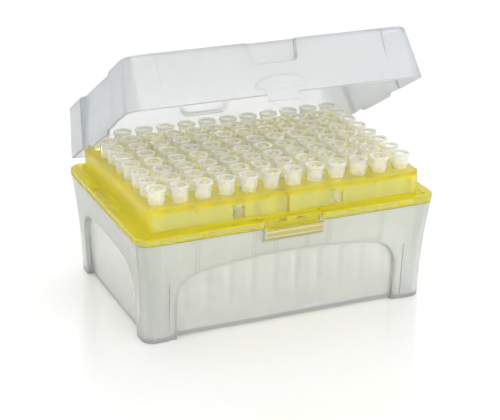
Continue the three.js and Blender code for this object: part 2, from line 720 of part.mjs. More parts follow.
// Pockets in the middle of the long sides, open to the roof, which the next box's feet straddle.
function lidStackingCuts(inset) {
  const { foot, footHalfWidth, roofHalfWidth, depth, radius } = STACKING_POCKET;
  const bottom = LID_RIM + foot - inset;
  const roof = LID_RIM + LID_HEIGHT;
  const round = radius + inset;
  const narrow = footHalfWidth + inset;
  const wide = roofHalfWidth + inset;
  const shape = new THREE.Shape();
  shape.moveTo(wide, roof);
  shape.lineTo(wide, roof + OVERSHOOT);
  shape.lineTo(-wide, roof + OVERSHOOT);
  shape.lineTo(-wide, roof);
  shape.lineTo(-narrow, bottom + round);
  shape.absarc(-narrow + round, bottom + round, round, Math.PI, 1.5 * Math.PI);
  shape.absarc(narrow - round, bottom + round, round, 1.5 * Math.PI, 2 * Math.PI);
  const face = LID_WIDTH / 2 - LID_LONG_DRAFT - depth - inset;
  const rear = alongY(shape, face, LID_WIDTH / 2 + OVERSHOOT, CORNER_STEPS);
  return rear.add(rear.mirror([0, 1, 0]));
}

function lidForm(inset) {
  return cut(lidLoft(inset), [lidEndCuts(inset), lidLongCuts(inset), lidStackingCuts(inset)]);
}

function lidEndTongues() {
  const outer = LID_LENGTH / 2 - LID_END_PANEL_RIM_DEPTH;
  const half = END_TONGUE_HALF_WIDTH;
  const profile = polygon([
    [-half, LID_RIM + LID_WALL],
    [-half, LID_RIM],
    [-half + END_TONGUE_TAPER, LID_RIM - END_TONGUE_DROP],
    [half - END_TONGUE_TAPER, LID_RIM - END_TONGUE_DROP],
    [half, LID_RIM],
    [half, LID_RIM + LID_WALL],
  ]);
  return mirrored(alongX(profile, outer - LID_WALL, outer));
}

// Finger lift: a lens that swells out of the front wall and is cut short below.
function fingerLift() {
  const geometry = new THREE.SphereGeometry(1, LIFT_SIDES, LIFT_SIDES / 2);
  const position = geometry.attributes.position;
  for (let i = 0; i < position.count; i += 1) {
    const height = position.getZ(i) < 0 ? LIFT_FALL : LIFT_RISE;
    position.setXYZ(i,
      position.getX(i) * LIFT_HALF_WIDTH, position.getY(i) * LIFT_DEPTH, position.getZ(i) * height);
  }
  geometry.translate(0, -LID_WIDTH / 2, LID_RIM + LIFT_MIDDLE);
  return toSolid(geometry);
}

function latchTab() {
  const inner = TONGUE_FACE + CLEARANCE + HOOK_PROUD;
  const outer = inner + TAB_THICKNESS;
  const bottom = LID_RIM - TAB_DROP;
  const tab = block([-TAB_HALF_WIDTH, -outer, bottom], [TAB_HALF_WIDTH, -inner, LID_RIM + TAB_ROOT]);
  const hook = block(
    [HOOK_NEAR, -inner - TAB_THICKNESS / 2, bottom],
    [TAB_HALF_WIDTH, -inner + HOOK_PROUD, bottom + HOOK_HEIGHT]);
  return tab.add(mirrored(hook));
}

// Arm with an open knuckle that clips over the tub's pin and turns on it.
function knuckles() {
  const wall = LID_WIDTH / 2 - LID_WALL / 2;
  const lipFace = LIP_WIDTH / 2 + 2 * CLEARANCE;
  const arm = polygon([
    [wall, LID_RIM],
    [lipFace, LID_RIM],
    [HINGE_Y, HINGE_Z - KNUCKLE_RADIUS],
    [HINGE_Y, HINGE_Z + KNUCKLE_RADIUS],
    [wall, HINGE_Z + KNUCKLE_ARM_RISE],
  ]);
  const bore = PIN_RADIUS + CLEARANCE;
  const snap = polygon([
    [0, -SNAP_GAP / 2],
    [KNUCKLE_RADIUS + OVERSHOOT, -SNAP_GAP / 2],
    [KNUCKLE_RADIUS + OVERSHOOT, SNAP_GAP / 2],
    [0, SNAP_GAP / 2],
  ].map(([along, across]) => {
    const point = new THREE.Vector2(along, across).rotateAround(new THREE.Vector2(0, 0), SNAP_ANGLE);
    return [HINGE_Y + point.x, HINGE_Z + point.y];
  }));
  const from = HINGE_PLACE - KNUCKLE_WIDTH / 2;
  const to = HINGE_PLACE + KNUCKLE_WIDTH / 2;
  const solid = alongX(arm, from, to).add(alongX(disc(KNUCKLE_RADIUS, KNUCKLE_SIDES), from, to));
  const tools = [disc(bore, PIN_SIDES), snap].map((shape) => alongX(shape, from - CLEARANCE, to + CLEARANCE));
  return mirrored(cut(solid, tools));
}

function lid() {
  const outer = join([lidForm(0), fingerLift()]);
  const shell = cut(outer, [lidForm(LID_WALL)]);
  return join([shell, lidEndTongues(), latchTab(), knuckles()]);
}

// ---- assembly --------------------------------------------------------------------------------------

const CLEAR_PLASTIC = { color: 0xdfe3df, roughness: 0.35, metalness: 0 };
const MILKY_PLASTIC = { color: 0xcfd2ca, roughness: 0.4, metalness: 0 };
const YELLOW_PLASTIC = { color: 0xd8cc46, roughness: 0.35, metalness: 0 };
const TIP_PLASTIC = { color: 0xe8eae0, roughness: 0.25, metalness: 0 };

function part(name, geometry, finish) {
  const mesh = new THREE.Mesh(geometry, new THREE.MeshStandardMaterial(finish));
  mesh.name = name;
  return mesh;
}

// The lid hangs in a group that turns about the hinge pins.
function openLid() {
  const hinge = new THREE.Group();
  const geometry = toGeometry(lid());
  geometry.translate(0, -HINGE_Y, -HINGE_Z);
  hinge.add(part('lid', geometry, CLEAR_PLASTIC));
  hinge.position.set(0, HINGE_Y, HINGE_Z);
  hinge.rotation.x = -LID_ANGLE;
  return hinge;
}

// Loose tips, lettered by row from the back and numbered by column from the left.
function looseTips() {
  const tips = new THREE.Group();
  const geometry = toGeometry(tipSolid(CLEARANCE));
  eachTip(0, LOOSE_ROWS, (row, column) => {
    const letter = 'abcdefgh'[ROWS - 1 - row];
    const tip = part(`tip_${letter}${column + 1}`, geometry, TIP_PLASTIC);
    tip.position.set(...tipPlace(row, column));
    tips.add(tip);
  });
  return tips;
}

const box = new THREE.Group();
box.add(part('tub', toGeometry(tub()), MILKY_PLASTIC));
box.add(part('tip_rack', toGeometry(rack()), YELLOW_PLASTIC));
box.add(openLid());
box.add(looseTips());

// The origin lies on the table, under the middle of the box as it stands open.
const extent = new THREE.Box3().setFromObject(box, true);
box.position.y = -(extent.min.y + extent.max.y) / 2;
const assembly = new THREE.Group();
assembly.add(box);

export default assembly;
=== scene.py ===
"""Looks of a hinged box of pipette tips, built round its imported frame.

The box stands part open: a milky tub, a yellow rack full of clear tips and a cloudy clear lid.  Sizes are in
millimetres and are named in the class of the piece they belong to; places come from the frame.  Every piece is
modelled with the middle of the tip grid on the Z axis and the lid shut, then set down where the frame has it.
"""
import json
import logging
import math
from collections import Counter
from collections.abc import Callable, Iterator, Sequence
from contextlib import contextmanager
from dataclasses import dataclass, field, replace
from enum import Enum
from itertools import pairwise

import bpy
from mathutils import Euler, Matrix, Vector


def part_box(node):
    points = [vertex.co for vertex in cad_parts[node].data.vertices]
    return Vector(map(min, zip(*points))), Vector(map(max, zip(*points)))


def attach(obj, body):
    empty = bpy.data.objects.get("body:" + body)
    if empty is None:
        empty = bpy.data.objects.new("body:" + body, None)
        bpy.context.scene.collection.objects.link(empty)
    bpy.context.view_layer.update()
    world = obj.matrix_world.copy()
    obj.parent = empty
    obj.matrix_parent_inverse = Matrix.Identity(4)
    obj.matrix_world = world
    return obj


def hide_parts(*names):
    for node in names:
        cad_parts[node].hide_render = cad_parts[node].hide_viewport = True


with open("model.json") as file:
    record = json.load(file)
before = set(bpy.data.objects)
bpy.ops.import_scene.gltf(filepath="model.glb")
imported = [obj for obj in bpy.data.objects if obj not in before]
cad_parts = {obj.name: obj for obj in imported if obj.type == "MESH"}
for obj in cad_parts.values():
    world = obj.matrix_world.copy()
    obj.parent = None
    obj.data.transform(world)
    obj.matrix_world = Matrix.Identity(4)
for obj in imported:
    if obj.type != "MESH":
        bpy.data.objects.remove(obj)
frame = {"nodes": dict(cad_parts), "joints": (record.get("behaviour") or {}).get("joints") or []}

LOG = logging.getLogger("tip_box")
MM = 0.001  # a millimetre in metres
BEYOND = 5.0  # how far a cutter reaches past what it cuts, in mm
CORNER_STEPS = 8  # facets in a corner of a lofted shape
ROUND_STEPS = 30  # facets in a full circle
MERGE = 0.05  # how near two places of a mesh may lie before they are merged, in mm
FLAT = 0.3  # angle under which two faces count as one, in degrees

Pair = tuple[float, float]
Triple = tuple[float, float, float]
Ramp = tuple[float, float, float, float]


# ---- shaping --------------------------------------------------------------------------------------


class View(Enum):
    """Planes that an outline is drawn in: its first and second axis and the one it is thickened along."""

    FRONT = ("X", "Z", "Y")
    SIDE = ("Y", "Z", "X")
    TOP = ("X", "Y", "Z")

    def vector(self, u: float, v: float, depth: float = 0.0) -> Vector:
        """Turn a place in the outline, in mm, into a place in metres."""
        amounts = dict(zip(self.value, (u, v, depth)))
        return Vector([amounts[letter] * MM for letter in "XYZ"])

    def spin_axis(self) -> Vector:
        """Axis that makes Blender's spin turn from the first axis to the second."""
        return self.vector(1, 0).cross(self.vector(0, 1)).normalized() * -1


@dataclass(frozen=True)
class Arc:
    """Round stroke about a centre; a positive angle turns from the first axis to the second."""

    u: float
    v: float
    degrees: float
    steps: int


@dataclass(frozen=True)
class Section:
    """Rounded rectangle that lies at one height."""

    z: float
    length: float
    width: float


Stroke = Pair | Arc


def round_about(u: float, v: float, radius: float) -> list[Stroke]:
    """Strokes round a centre, up to the facet that closes the circle."""
    return [(u + radius, v), Arc(u, v, 360 - 360 / ROUND_STEPS, ROUND_STEPS - 1)]


class Shape:
    """One mesh that is shaped with Blender's own operators; its places are given in mm."""

    def __init__(self, made: bpy.types.Object) -> None:
        """Take over an object."""
        self.object = made

    @classmethod
    def primitive(cls, name: str, adder: Callable[..., set[str]], **settings: object) -> "Shape":
        """Add a primitive.

        Args:
            name: Name of the new mesh.
            adder: Operator that adds the primitive.
            settings: Its size and place, in metres.

        Returns:
            The primitive.
        """
        bpy.ops.object.select_all(action="DESELECT")
        adder(**settings)
        bpy.ops.object.transform_apply()
        made = bpy.context.object
        made.name = made.data.name = name
        return cls(made)

    def select(self) -> None:
        """Make this the only selected object and the active one."""
        bpy.ops.object.select_all(action="DESELECT")
        self.object.select_set(True)
        bpy.context.view_layer.objects.active = self.object

    @contextmanager
    def editing(self) -> Iterator[None]:
        """Open the mesh in edit mode with everything selected, and leave it again."""
        self.select()
        bpy.ops.object.mode_set(mode="EDIT")
        bpy.ops.mesh.select_mode(type="VERT")
        bpy.ops.mesh.select_all(action="SELECT")
        yield
        bpy.ops.object.mode_set(mode="OBJECT")

    @staticmethod
    def face_outwards() -> None:
        """Turn all faces of the open mesh outwards."""
        bpy.ops.mesh.select_all(action="SELECT")
        bpy.ops.mesh.normals_make_consistent(inside=False)

    @classmethod
    def drawn(cls, name: str, view: View, strokes: Sequence[Stroke], near: float, far: float) -> "Shape":
        """Draw a closed outline with a pen and thicken it.

        Args:
            name: Name of the new mesh.
            view: Plane of the outline.
            strokes: Where the pen is put down, then places it goes straight to and arcs; the end meets the start.
            near: Where the solid starts along the third axis.
            far: Where it ends.

        Returns:
            The solid.
        """
        shape = cls.traced(name, view, strokes, near)
        with shape.editing():
            bpy.ops.mesh.edge_face_add()
            move = view.vector(0, 0, far - near)
            bpy.ops.mesh.extrude_region_move(TRANSFORM_OT_translate={"value": move})
            shape.face_outwards()
        return shape

    @classmethod
    def traced(cls, name: str, view: View, strokes: Sequence[Stroke], depth: float = 0.0) -> "Shape":
        """Draw an open run of edges with a pen.

        Args:
            name: Name of the new mesh.
            view: Plane of the strokes.
            strokes: Where the pen is put down, then places it goes straight to and arcs.
            depth: Place of the plane along its third axis.

        Returns:
            The run of edges.
        """
        start, *rest = strokes
        shape = cls.primitive(name, bpy.ops.mesh.primitive_plane_add, size=MM, location=view.vector(*start, depth))
        pen = Vector(start)
        with shape.editing():
            bpy.ops.mesh.merge(type="CENTER")
            for stroke in rest:
                if isinstance(stroke, Arc):
                    angle, centre = math.radians(stroke.degrees), Vector((stroke.u, stroke.v))
                    bpy.ops.mesh.spin(steps=stroke.steps, angle=angle, axis=view.spin_axis(),
                                      center=view.vector(stroke.u, stroke.v, depth))
                    pen = centre + Matrix.Rotation(angle, 2) @ (pen - centre)
                else:
                    move = view.vector(stroke[0] - pen.x, stroke[1] - pen.y)
                    bpy.ops.mesh.extrude_region_move(TRANSFORM_OT_translate={"value": move})
                    pen = Vector(stroke)
        return shape

    @classmethod
    def block(cls, name: str, low: Sequence[float], high: Sequence[float]) -> "Shape":
        """Make a box from its lowest to its highest corner."""
        corners = [(low[0], low[1]), (high[0], low[1]), (high[0], high[1]), (low[0], high[1])]
        return cls.drawn(name, View.TOP, corners, low[2], high[2])

    @classmethod
    def lofted(cls, name: str, radius: float, sections: Sequence[Section]) -> "Shape":
        """Raise a rounded rectangle through sections that grow or shrink on the way up.

        Args:
            name: Name of the new mesh.
            radius: Radius of the corners of the first section.
            sections: Sections from the lowest to the highest.

        Returns:
            The solid.
        """
        below, *rest = sections
        shape = cls.primitive(name, bpy.ops.mesh.primitive_plane_add, size=MM, location=(0, 0, below.z * MM))
        with shape.editing():
            bpy.ops.transform.resize(value=(below.length, below.width, 1), center_override=(0, 0, 0))
            bpy.ops.mesh.bevel(offset=radius * MM, segments=CORNER_STEPS, affect="VERTICES", profile=0.5)
            bpy.ops.mesh.select_mode(type="FACE")
            bpy.ops.mesh.select_all(action="SELECT")
            for section in rest:
                rise = (0, 0, (section.z - below.z) * MM)
                bpy.ops.mesh.extrude_region_move(TRANSFORM_OT_translate={"value": rise})
                growth = (section.length / below.length, section.width / below.width, 1)
                bpy.ops.transform.resize(value=growth, center_override=(0, 0, section.z * MM))
                below = section
            shape.face_outwards()
        return shape

    @classmethod
    def slab(cls, name: str, radius: float, sides: Sequence[float], low: float, high: float) -> "Shape":
        """Raise a rounded rectangle straight up from one height to another."""
        return cls.lofted(name, radius, [Section(low, *sides), Section(high, *sides)])

    def pick(self, wanted: Callable[[bpy.types.MeshVertex], bool]) -> None:
        """Select only what a test wants; called while the mesh is open in edit mode.

        Args:
            wanted: Test of a vertex.
        """
        bpy.ops.mesh.select_all(action="DESELECT")
        bpy.ops.object.mode_set(mode="OBJECT")
        for vertex in self.object.data.vertices:
            vertex.select = wanted(vertex)
        bpy.ops.object.mode_set(mode="EDIT")

    def close_run(self) -> None:
        """Join the last place of a run of edges to its first; called while it is open in edit mode."""
        self.object.update_from_editmode()
        uses = Counter(end for edge in self.object.data.edges for end in edge.vertices)
        self.pick(lambda vertex: uses[vertex.index] == 1)
        bpy.ops.mesh.edge_face_add()

    def apply(self, kind: str, **settings: object) -> "Shape":
        """Add a modifier, set it and apply it.

        Args:
            kind: Type of the modifier.
            settings: Its settings by name.

        Returns:
            This shape.
        """
        self.select()
        bpy.ops.object.modifier_add(type=kind)
        modifier = self.object.modifiers[-1]
        for name, value in settings.items():
            setattr(modifier, name, value)
        bpy.ops.object.modifier_apply(modifier=modifier.name)
        return self

    def _combine(self, operation: str, tools: Sequence["Shape"]) -> "Shape":
        """Add, cut or intersect with other shapes, which are used up.

        Args:
            operation: What is done.
            tools: The other shapes.

        Returns:
            This shape.
        """
        for tool in tools:
            self.apply("BOOLEAN", operation=operation, solver="MANIFOLD", object=tool.object)
            bpy.data.meshes.remove(tool.object.data)
        return self

    def add(self, *tools: "Shape") -> "Shape":
        """Join other shapes to this one."""
        return self._combine("UNION", tools)

    def cut(self, *tools: "Shape") -> "Shape":
        """Cut other shapes out of this one."""
        return self._combine("DIFFERENCE", tools)

    def common(self, *tools: "Shape") -> "Shape":
        """Keep only what this shape shares with others."""
        return self._combine("INTERSECT", tools)

    def copy(self, name: str) -> "Shape":
        """Copy the shape with a mesh of its own.

        Args:
            name: Name of the copy.

        Returns:
            The copy.
        """
        made = self.object.copy()
        made.data = self.object.data.copy()
        made.name = made.data.name = name
        bpy.context.scene.collection.objects.link(made)
        return Shape(made)

    def mirrored(self, *axes: str) -> "Shape":
        """Add the mirror image of the shape across the planes through the Z axis.

        Args:
            axes: X, Y or both.

        Returns:
            This shape, with all its images.
        """
        for axis in axes:
            flags = [axis == letter for letter in "XYZ"]
            self.apply("MIRROR", use_axis=flags, use_mirror_merge=False)
            with self.editing():
                self.face_outwards()
        return self

    def arrayed(self, count: int, step: Sequence[float]) -> "Shape":
        """Repeat the shape in a row of so many, each one step on from the last."""
        return self.apply("ARRAY", count=count, use_relative_offset=False, use_constant_offset=True,
                          constant_offset_displace=[amount * MM for amount in step])

    def moved(self, x: float, y: float, z: float) -> "Shape":
        """Move the mesh by an offset."""
        self.object.data.transform(Matrix.Translation((x * MM, y * MM, z * MM)))
        return self

    def swung(self, degrees: float, y: float, z: float) -> "Shape":
        """Turn the mesh about a line along X.

        Args:
            degrees: Angle; a positive one lifts what lies towards +Y.
            y: Place of the line.
            z: Height of the line.

        Returns:
            This shape.
        """
        pivot = Matrix.Translation((0, y * MM, z * MM))
        turn = Matrix.Rotation(math.radians(degrees), 4, "X")
        self.object.data.transform(pivot @ turn @ pivot.inverted())
        return self

    def _open_slots(self, count: int) -> None:
        """Give the mesh at least so many material slots."""
        while len(self.object.data.materials) < count:
            self.object.data.materials.append(None)

    def rounded(self, width: float, angle: float = 40.0, narrowed: bool = True) -> "Shape":
        """Round the sharp edges; the roundings get the second material.

        Args:
            width: Width of the rounding.
            angle: Least angle of an edge that is rounded.
            narrowed: Whether it narrows until it fits the smallest detail.

        Returns:
            This shape.
        """
        with self.editing():
            bpy.ops.mesh.remove_doubles(threshold=(MERGE if narrowed else 2 * MERGE) * MM)
            bpy.ops.mesh.dissolve_limited(angle_limit=math.radians(FLAT))
        self._open_slots(2)
        return self.apply("BEVEL", width=width * MM, segments=2, limit_method="ANGLE", material=1,
                          angle_limit=math.radians(angle), use_clamp_overlap=narrowed)

    def painted(self, index: int, wanted: Callable[[Vector], bool]) -> "Shape":
        """Give the faces that a test of their middle wants one of the materials.

        Args:
            index: Number of the material.
            wanted: Test of a place in metres.

        Returns:
            This shape.
        """
        self._open_slots(index + 1)
        for face in self.object.data.polygons:
            if wanted(face.center):
                face.material_index = index
        return self

    def smoothed(self, angle: float = 50.0) -> "Shape":
        """Shade round surfaces smooth and keep flat ones flat.

        Args:
            angle: Greatest angle between faces that is shaded smooth.

        Returns:
            This shape.
        """
        self.select()
        bpy.ops.object.shade_smooth_by_angle(angle=math.radians(angle))
        return self.apply("WEIGHTED_NORMAL", keep_sharp=True)


# ---- places taken from the frame ------------------------------------------------------------------


@dataclass(frozen=True)
class Layout:
    """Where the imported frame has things, in mm, seen from the middle of the tip grid.

    Attributes:
        back: Place of the grid's middle along Y in the frame.
        hinge_y: Place of the hinge line along Y.
        hinge_z: Height of the hinge line.
        open_angle: How far the lid stands open at rest, in degrees.
    """

    back: float
    hinge_y: float
    hinge_z: float
    open_angle: float

    @classmethod
    def read(cls, pitch: float) -> "Layout":
        """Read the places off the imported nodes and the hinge.

        Args:
            pitch: Distance between neighbouring tips.

        Returns:
            The layout.
        """
        low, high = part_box("tip_e1")
        hinge = frame["joints"][0]
        back = (low.y + high.y) / 2 / MM + pitch / 2
        return cls(back, hinge["pos_m"][1] / MM - back, hinge["pos_m"][2] / MM, -hinge["range_deg"][0])


# ---- tips -----------------------------------------------------------------------------------------


@dataclass
class Tip:
    """One tapered tip with a collar, fine ribs round it and a rolled rim."""

    bottom: float = 7.4
    seat: float = 52.5
    top: float = 58.4
    orifice_radius: float = 0.25
    end_radius: float = 0.5
    waist: float = 30.0
    waist_radius: float = 1.62
    body_radius: float = 2.65
    bore_radius: float = 2.1
    collar_radius: float = 3.1
    collar_flare: float = 0.08
    rim_radius: float = 3.65
    rim_height: float = 1.2
    mouth_radius: float = 2.72
    edge: float = 0.3
    edge_steps: int = 3
    ribs: int = 10
    rib_proud: float = 0.12
    rib_width: float = 0.3
    sides: int = 28
    smooth_angle: float = 40.0

    def build(self, name: str) -> Shape:
        """Spin the tip's section round its axis and set the ribs on its collar.

        Args:
            name: Name of the mesh.

        Returns:
            The tip, upright on the Z axis.
        """
        rim_foot = self.top - self.rim_height
        flared = self.collar_radius + self.collar_flare
        edge = self.edge
        strokes = [
            (self.orifice_radius, self.bottom),
            (self.end_radius, self.bottom),
            (self.waist_radius, self.waist),
            (self.body_radius, self.seat),
            (self.collar_radius - edge, self.seat),
            Arc(self.collar_radius - edge, self.seat + edge, 90, self.edge_steps),
            (flared, rim_foot),
            (self.rim_radius - edge, rim_foot + edge / 2),
            (self.rim_radius, rim_foot + edge),
            (self.rim_radius, self.top - edge),
            Arc(self.rim_radius - edge, self.top - edge, 90, self.edge_steps),
            (self.mouth_radius + edge, self.top),
            Arc(self.mouth_radius + edge, self.top - edge, 90, self.edge_steps),
            (self.bore_radius + edge, self.seat),
            (self.bore_radius, self.seat - 2 * edge),
            (self.waist_radius - 2 * edge, self.waist),
        ]
        tip = Shape.traced(name, View.FRONT, strokes)
        with tip.editing():
            tip.close_run()
            bpy.ops.mesh.select_all(action="SELECT")
            bpy.ops.mesh.spin(steps=self.sides, angle=2 * math.pi, center=(0, 0, 0), axis=(0, 0, 1))
            bpy.ops.mesh.select_all(action="SELECT")
            bpy.ops.mesh.remove_doubles(threshold=MERGE / 5 * MM)
            tip.face_outwards()
        tip.add(self._ring_of_ribs(rim_foot)).object.data.materials.clear()
        tip.painted(0, lambda place: True).painted(1, lambda place: place.z > rim_foot * MM)
        return tip.smoothed(self.smooth_angle)

    def _ring_of_ribs(self, rim_foot: float) -> Shape:
        """Make the ribs round the collar.

        Args:
            rim_foot: Height at which they run out under the rim.

        Returns:
            The ribs in one mesh.
        """
        half = self.rib_width / 2
        root, reach = self.collar_radius - self.rib_width, self.collar_radius + self.rib_proud
        section = [(root, self.seat + 3 * half), (reach, self.seat + 5 * half), (reach, rim_foot + half),
                   (root, rim_foot + half)]
        rib = Shape.drawn("ribs", View.FRONT, section, -half, half)
        with rib.editing():
            turn = 2 * math.pi * (self.ribs - 1) / self.ribs
            bpy.ops.mesh.spin(steps=self.ribs - 1, dupli=True, angle=turn, center=(0, 0, 0), axis=(0, 0, 1))
        return rib


@dataclass
class TipGrid:
    """The 96 tips, lettered by row from the back and numbered by column from the left."""

    tip: Tip
    columns: int = 12
    rows: int = 8
    pitch: float = 9.0

    def place(self, row: int, column: int) -> Pair:
        """Give the place of one tip along X and Y; row 0 is at the front."""
        return (column - (self.columns - 1) / 2) * self.pitch, (row - (self.rows - 1) / 2) * self.pitch

    def build(self) -> dict[str, Shape]:
        """Model one tip and copy it to every place.

        Returns:
            The tips by their letter and number.
        """
        pattern = self.tip.build("moulded_tip")
        tips = {}
        for row in range(self.rows):
            for column in range(self.columns):
                label = f"{'abcdefgh'[self.rows - 1 - row]}{column + 1}"
                x, y = self.place(row, column)
                tips[label] = pattern.copy(f"moulded_tip_{label}").moved(x, y, 0)
        bpy.data.meshes.remove(pattern.object.data)
        return tips


# ---- tub ------------------------------------------------------------------------------------------


@dataclass
class Arch:
    """Outline of a sunken panel: upright legs, round shoulders and a flat crown."""

    half_width: float
    apex: float
    crown_radius: float
    shoulder_radius: float = 11.0
    shoulder_steps: int = 10
    crown_steps: int = 20

    def cutter(self, view: View, grow: float, near: float, far: float) -> Shape:
        """Make the solid that is cut away in front of the panel.

        Args:
            view: Plane of the arch.
            grow: How far the outline is let out.
            near: Where the cut starts.
            far: Where it ends.

        Returns:
            The solid.
        """
        half = self.half_width + grow
        shoulder = self.shoulder_radius + grow
        crown = self.crown_radius + grow
        middle = self.apex + grow - crown
        side = half - shoulder
        tilt = math.asin(side / (crown - shoulder))
        height = middle + (crown - shoulder) * math.cos(tilt)
        lean = math.degrees(tilt)
        strokes = [(-half, -BEYOND), (half, -BEYOND), (half, height),
                   Arc(side, height, 90 - lean, self.shoulder_steps), Arc(0, middle, 2 * lean, self.crown_steps),
                   Arc(-side, height, 90 - lean, self.shoulder_steps)]
        return Shape.drawn("arch", view, strokes, near, far)

    def outside(self, across: "Socket", up: "Socket") -> "Socket":
        """Work out in a material how far a place lies outside the arch, in mm.

        Args:
            across: Distance from the arch's middle line, in mm.
            up: Height, in mm.

        Returns:
            The distance, below 0 inside the arch.
        """
        over = (across - (self.half_width - self.shoulder_radius)).at_least(0)
        rise = across.joined(up - (self.apex - self.crown_radius)) - (self.crown_radius - self.shoulder_radius)
        return over.joined(rise.at_least(0)) - self.shoulder_radius


@dataclass
class Tub:
    """Milky tub with arched panels, corner feet, inner ribs, a catch and the hinge's ears."""

    layout: Layout
    height: float = 40.1
    top: Pair = (120.0, 84.0)
    foot: Pair = (114.8, 78.1)
    corner: float = 4.4
    sag: float = 0.6
    levels: int = 6
    wall: float = 1.6
    floor: float = 1.4
    panel_depth: float = 2.2
    panel_lift: float = 0.4
    long_arch: Arch = field(default_factory=lambda: Arch(44.7, 29.3, 233))
    end_arch: Arch = field(default_factory=lambda: Arch(29.7, 29.9, 182))
    apron_depth: float = 0.5
    apron_fade: float = 0.8
    apron_half_width: float = 48.0
    apron_height: float = 31.0
    rib_width: float = 1.2
    rib_foot: float = 24.0
    rib_places: tuple[float, ...] = (15.2, 37.4)
    catch_rib_place: float = 6.5
    catch_rib_top: float = 35.0
    rim: Pair = (118.6, 82.6)
    rim_height: float = 1.6
    catch_half_width: float = 12.0
    catch_face: float = 43.8
    catch_bottom: float = 36.2
    catch_wall: float = 0.8
    pocket_back: float = 39.35
    ear_place: float = 36.0
    ear_gap: float = 6.6
    ear_width: float = 1.8
    ear_foot: float = 31.0
    ear_reach: float = 2.9
    ear_front: float = 42.7
    ear_turn: float = 120.0
    ear_steps: int = 10
    pin_radius: float = 1.2
    tip_pitch: float = 9.0
    catch_lines: Pair = (37.2, 39.2)
    outer_rounding: float = 0.3
    inner_rounding: float = 0.35
    # Painted shade in the walls, for the arches' outlines, the bands round the panels, the ribs and the tips' shadows
    # behind: a line by its full and its faded half-width, a ramp by its ends and their values.
    wall_zone: float = 5.0
    outline: Triple = (0.3, 0.35, 0.95)
    rib_line: Pair = (0.1, 0.45)
    catch_line: Pair = (0.15, 0.4)
    tip_shadow: Ramp = (6.0, 40.0, 0.4, 2.4)
    fading_foot: Ramp = (0.0, 25.0, 0.4, 1.0)
    outline_shade: float = 0.5
    long_shade: float = 0.5
    end_shade: float = 0.65
    rib_shade: float = 0.3
    tip_shade: float = 0.18
    catch_shade: float = 0.75
    line_shade: float = 0.65
    catch_border: float = 1.2
    border_shade: float = 0.2

    @property
    def wall_root(self) -> float:
        """Place inside the long walls that other parts grow from."""
        return self.top[1] / 2 - self.wall / 2

    def section(self, z: float, inset: float) -> Section:
        """Give the tub's outline at a height.

        Args:
            z: The height.
            inset: How far the outline is drawn in.

        Returns:
            The outline.
        """
        share = min(max(z / self.height, 0), 1)
        bow = 2 * (self.sag * 4 * share * (1 - share) + inset)
        length, width = (low + (high - low) * share - bow for low, high in zip(self.foot, self.top))
        return Section(z, length, width)

    def loft(self, name: str, inset: float, bottom: float, top: float) -> Shape:
        """Raise the plain tub.

        Args:
            name: Name of the mesh.
            inset: How far it is drawn in from the outer face.
            bottom: Height of its underside.
            top: Height of its top.

        Returns:
            The solid.
        """
        levels = [bottom, *(self.height * step / self.levels for step in range(1, self.levels + 1))]
        if top > self.height:
            levels.append(top)
        return Shape.lofted(name, self.corner - inset, [self.section(z, inset) for z in levels])

    def _arches(self, grow: float) -> list[Shape]:
        """Make the cutters of the four arched panels.

        Args:
            grow: How far their outlines are let out.

        Returns:
            The cutters.
        """
        far_y, far_x = self.top[1] / 2 + BEYOND, self.top[0] / 2 + BEYOND
        near_y = self.foot[1] / 2 - 2 * (self.panel_depth + grow)
        near_x = self.foot[0] / 2 - 2 * (self.panel_depth + grow)
        return [self.long_arch.cutter(View.FRONT, grow, near_y, far_y).mirrored("Y"),
                self.end_arch.cutter(View.SIDE, grow, near_x, far_x).mirrored("X")]

    def _aprons(self, inset: float) -> Shape:
        """Make the cutter of the step round the long panels, which fades out upwards.

        Args:
            inset: How far it is let out.

        Returns:
            The cutter.
        """
        half, outer, top = self.apron_half_width + inset, self.top[1] / 2 + BEYOND, self.apron_height
        inner = self.foot[1] / 4
        slab = Shape.drawn("apron", View.SIDE, [(inner, -BEYOND), (outer, -BEYOND), (outer, top), (inner, top)],
                           -half, half)
        sections = [self.section(share * top, inset + self.apron_depth * (1 - share / self.apron_fade))
                    for share in (0, 0.25, 0.5, 0.75, 1)]
        core = [Section(-2 * BEYOND, sections[0].length, sections[0].width), *sections,
                Section(self.height, sections[-1].length, sections[-1].width)]
        return slab.mirrored("Y").cut(Shape.lofted("apron_core", self.corner, core))

    def form(self, name: str, inset: float, bottom: float, top: float) -> Shape:
        """Make the tub's outer form or, with an inset, the hollow in it.

        Args:
            name: Name of the mesh.
            inset: How far it is drawn in.
            bottom: Height of its underside.
            top: Height of its top.

        Returns:
            The solid.
        """
        corners = self.loft(name, inset, bottom, top).cut(self._aprons(inset), *self._arches(inset))
        core = self.loft("core", inset + self.panel_depth, bottom + self.panel_lift, top)
        return corners.add(core)

    def _ribs(self) -> Shape:
        """Make the ribs inside the long walls.

        Returns:
            The ribs in one mesh.
        """
        outer, half = self.wall_root, self.rib_width / 2
        inner = self.top[1] / 2 - self.wall - self.panel_depth
        ribs = [Shape.block("rib", (x - half, inner, self.rib_foot), (x + half, outer, self.height)).mirrored("X", "Y")
                for x in self.rib_places]
        catch_rib = Shape.block("rib", (self.catch_rib_place - half, -outer, self.rib_foot),
                                (self.catch_rib_place + half, -inner, self.catch_rib_top)).mirrored("X")
        whole = ribs[0].add(*ribs[1:], catch_rib)
        return whole.common(self.form("rib_room", self.wall / 2, self.floor, self.height))

    def _catch(self) -> Shape:
        """Make the hooded catch that holds the rack's tongue, still without its pocket."""
        half, face, root, low = self.catch_half_width, self.catch_face, self.wall_root, self.catch_bottom
        return Shape.drawn("catch", View.SIDE, [(-root, low - 2 * self.catch_wall), (-root, self.height),
                                                (-face, self.height), (-face, low)], -half, half)

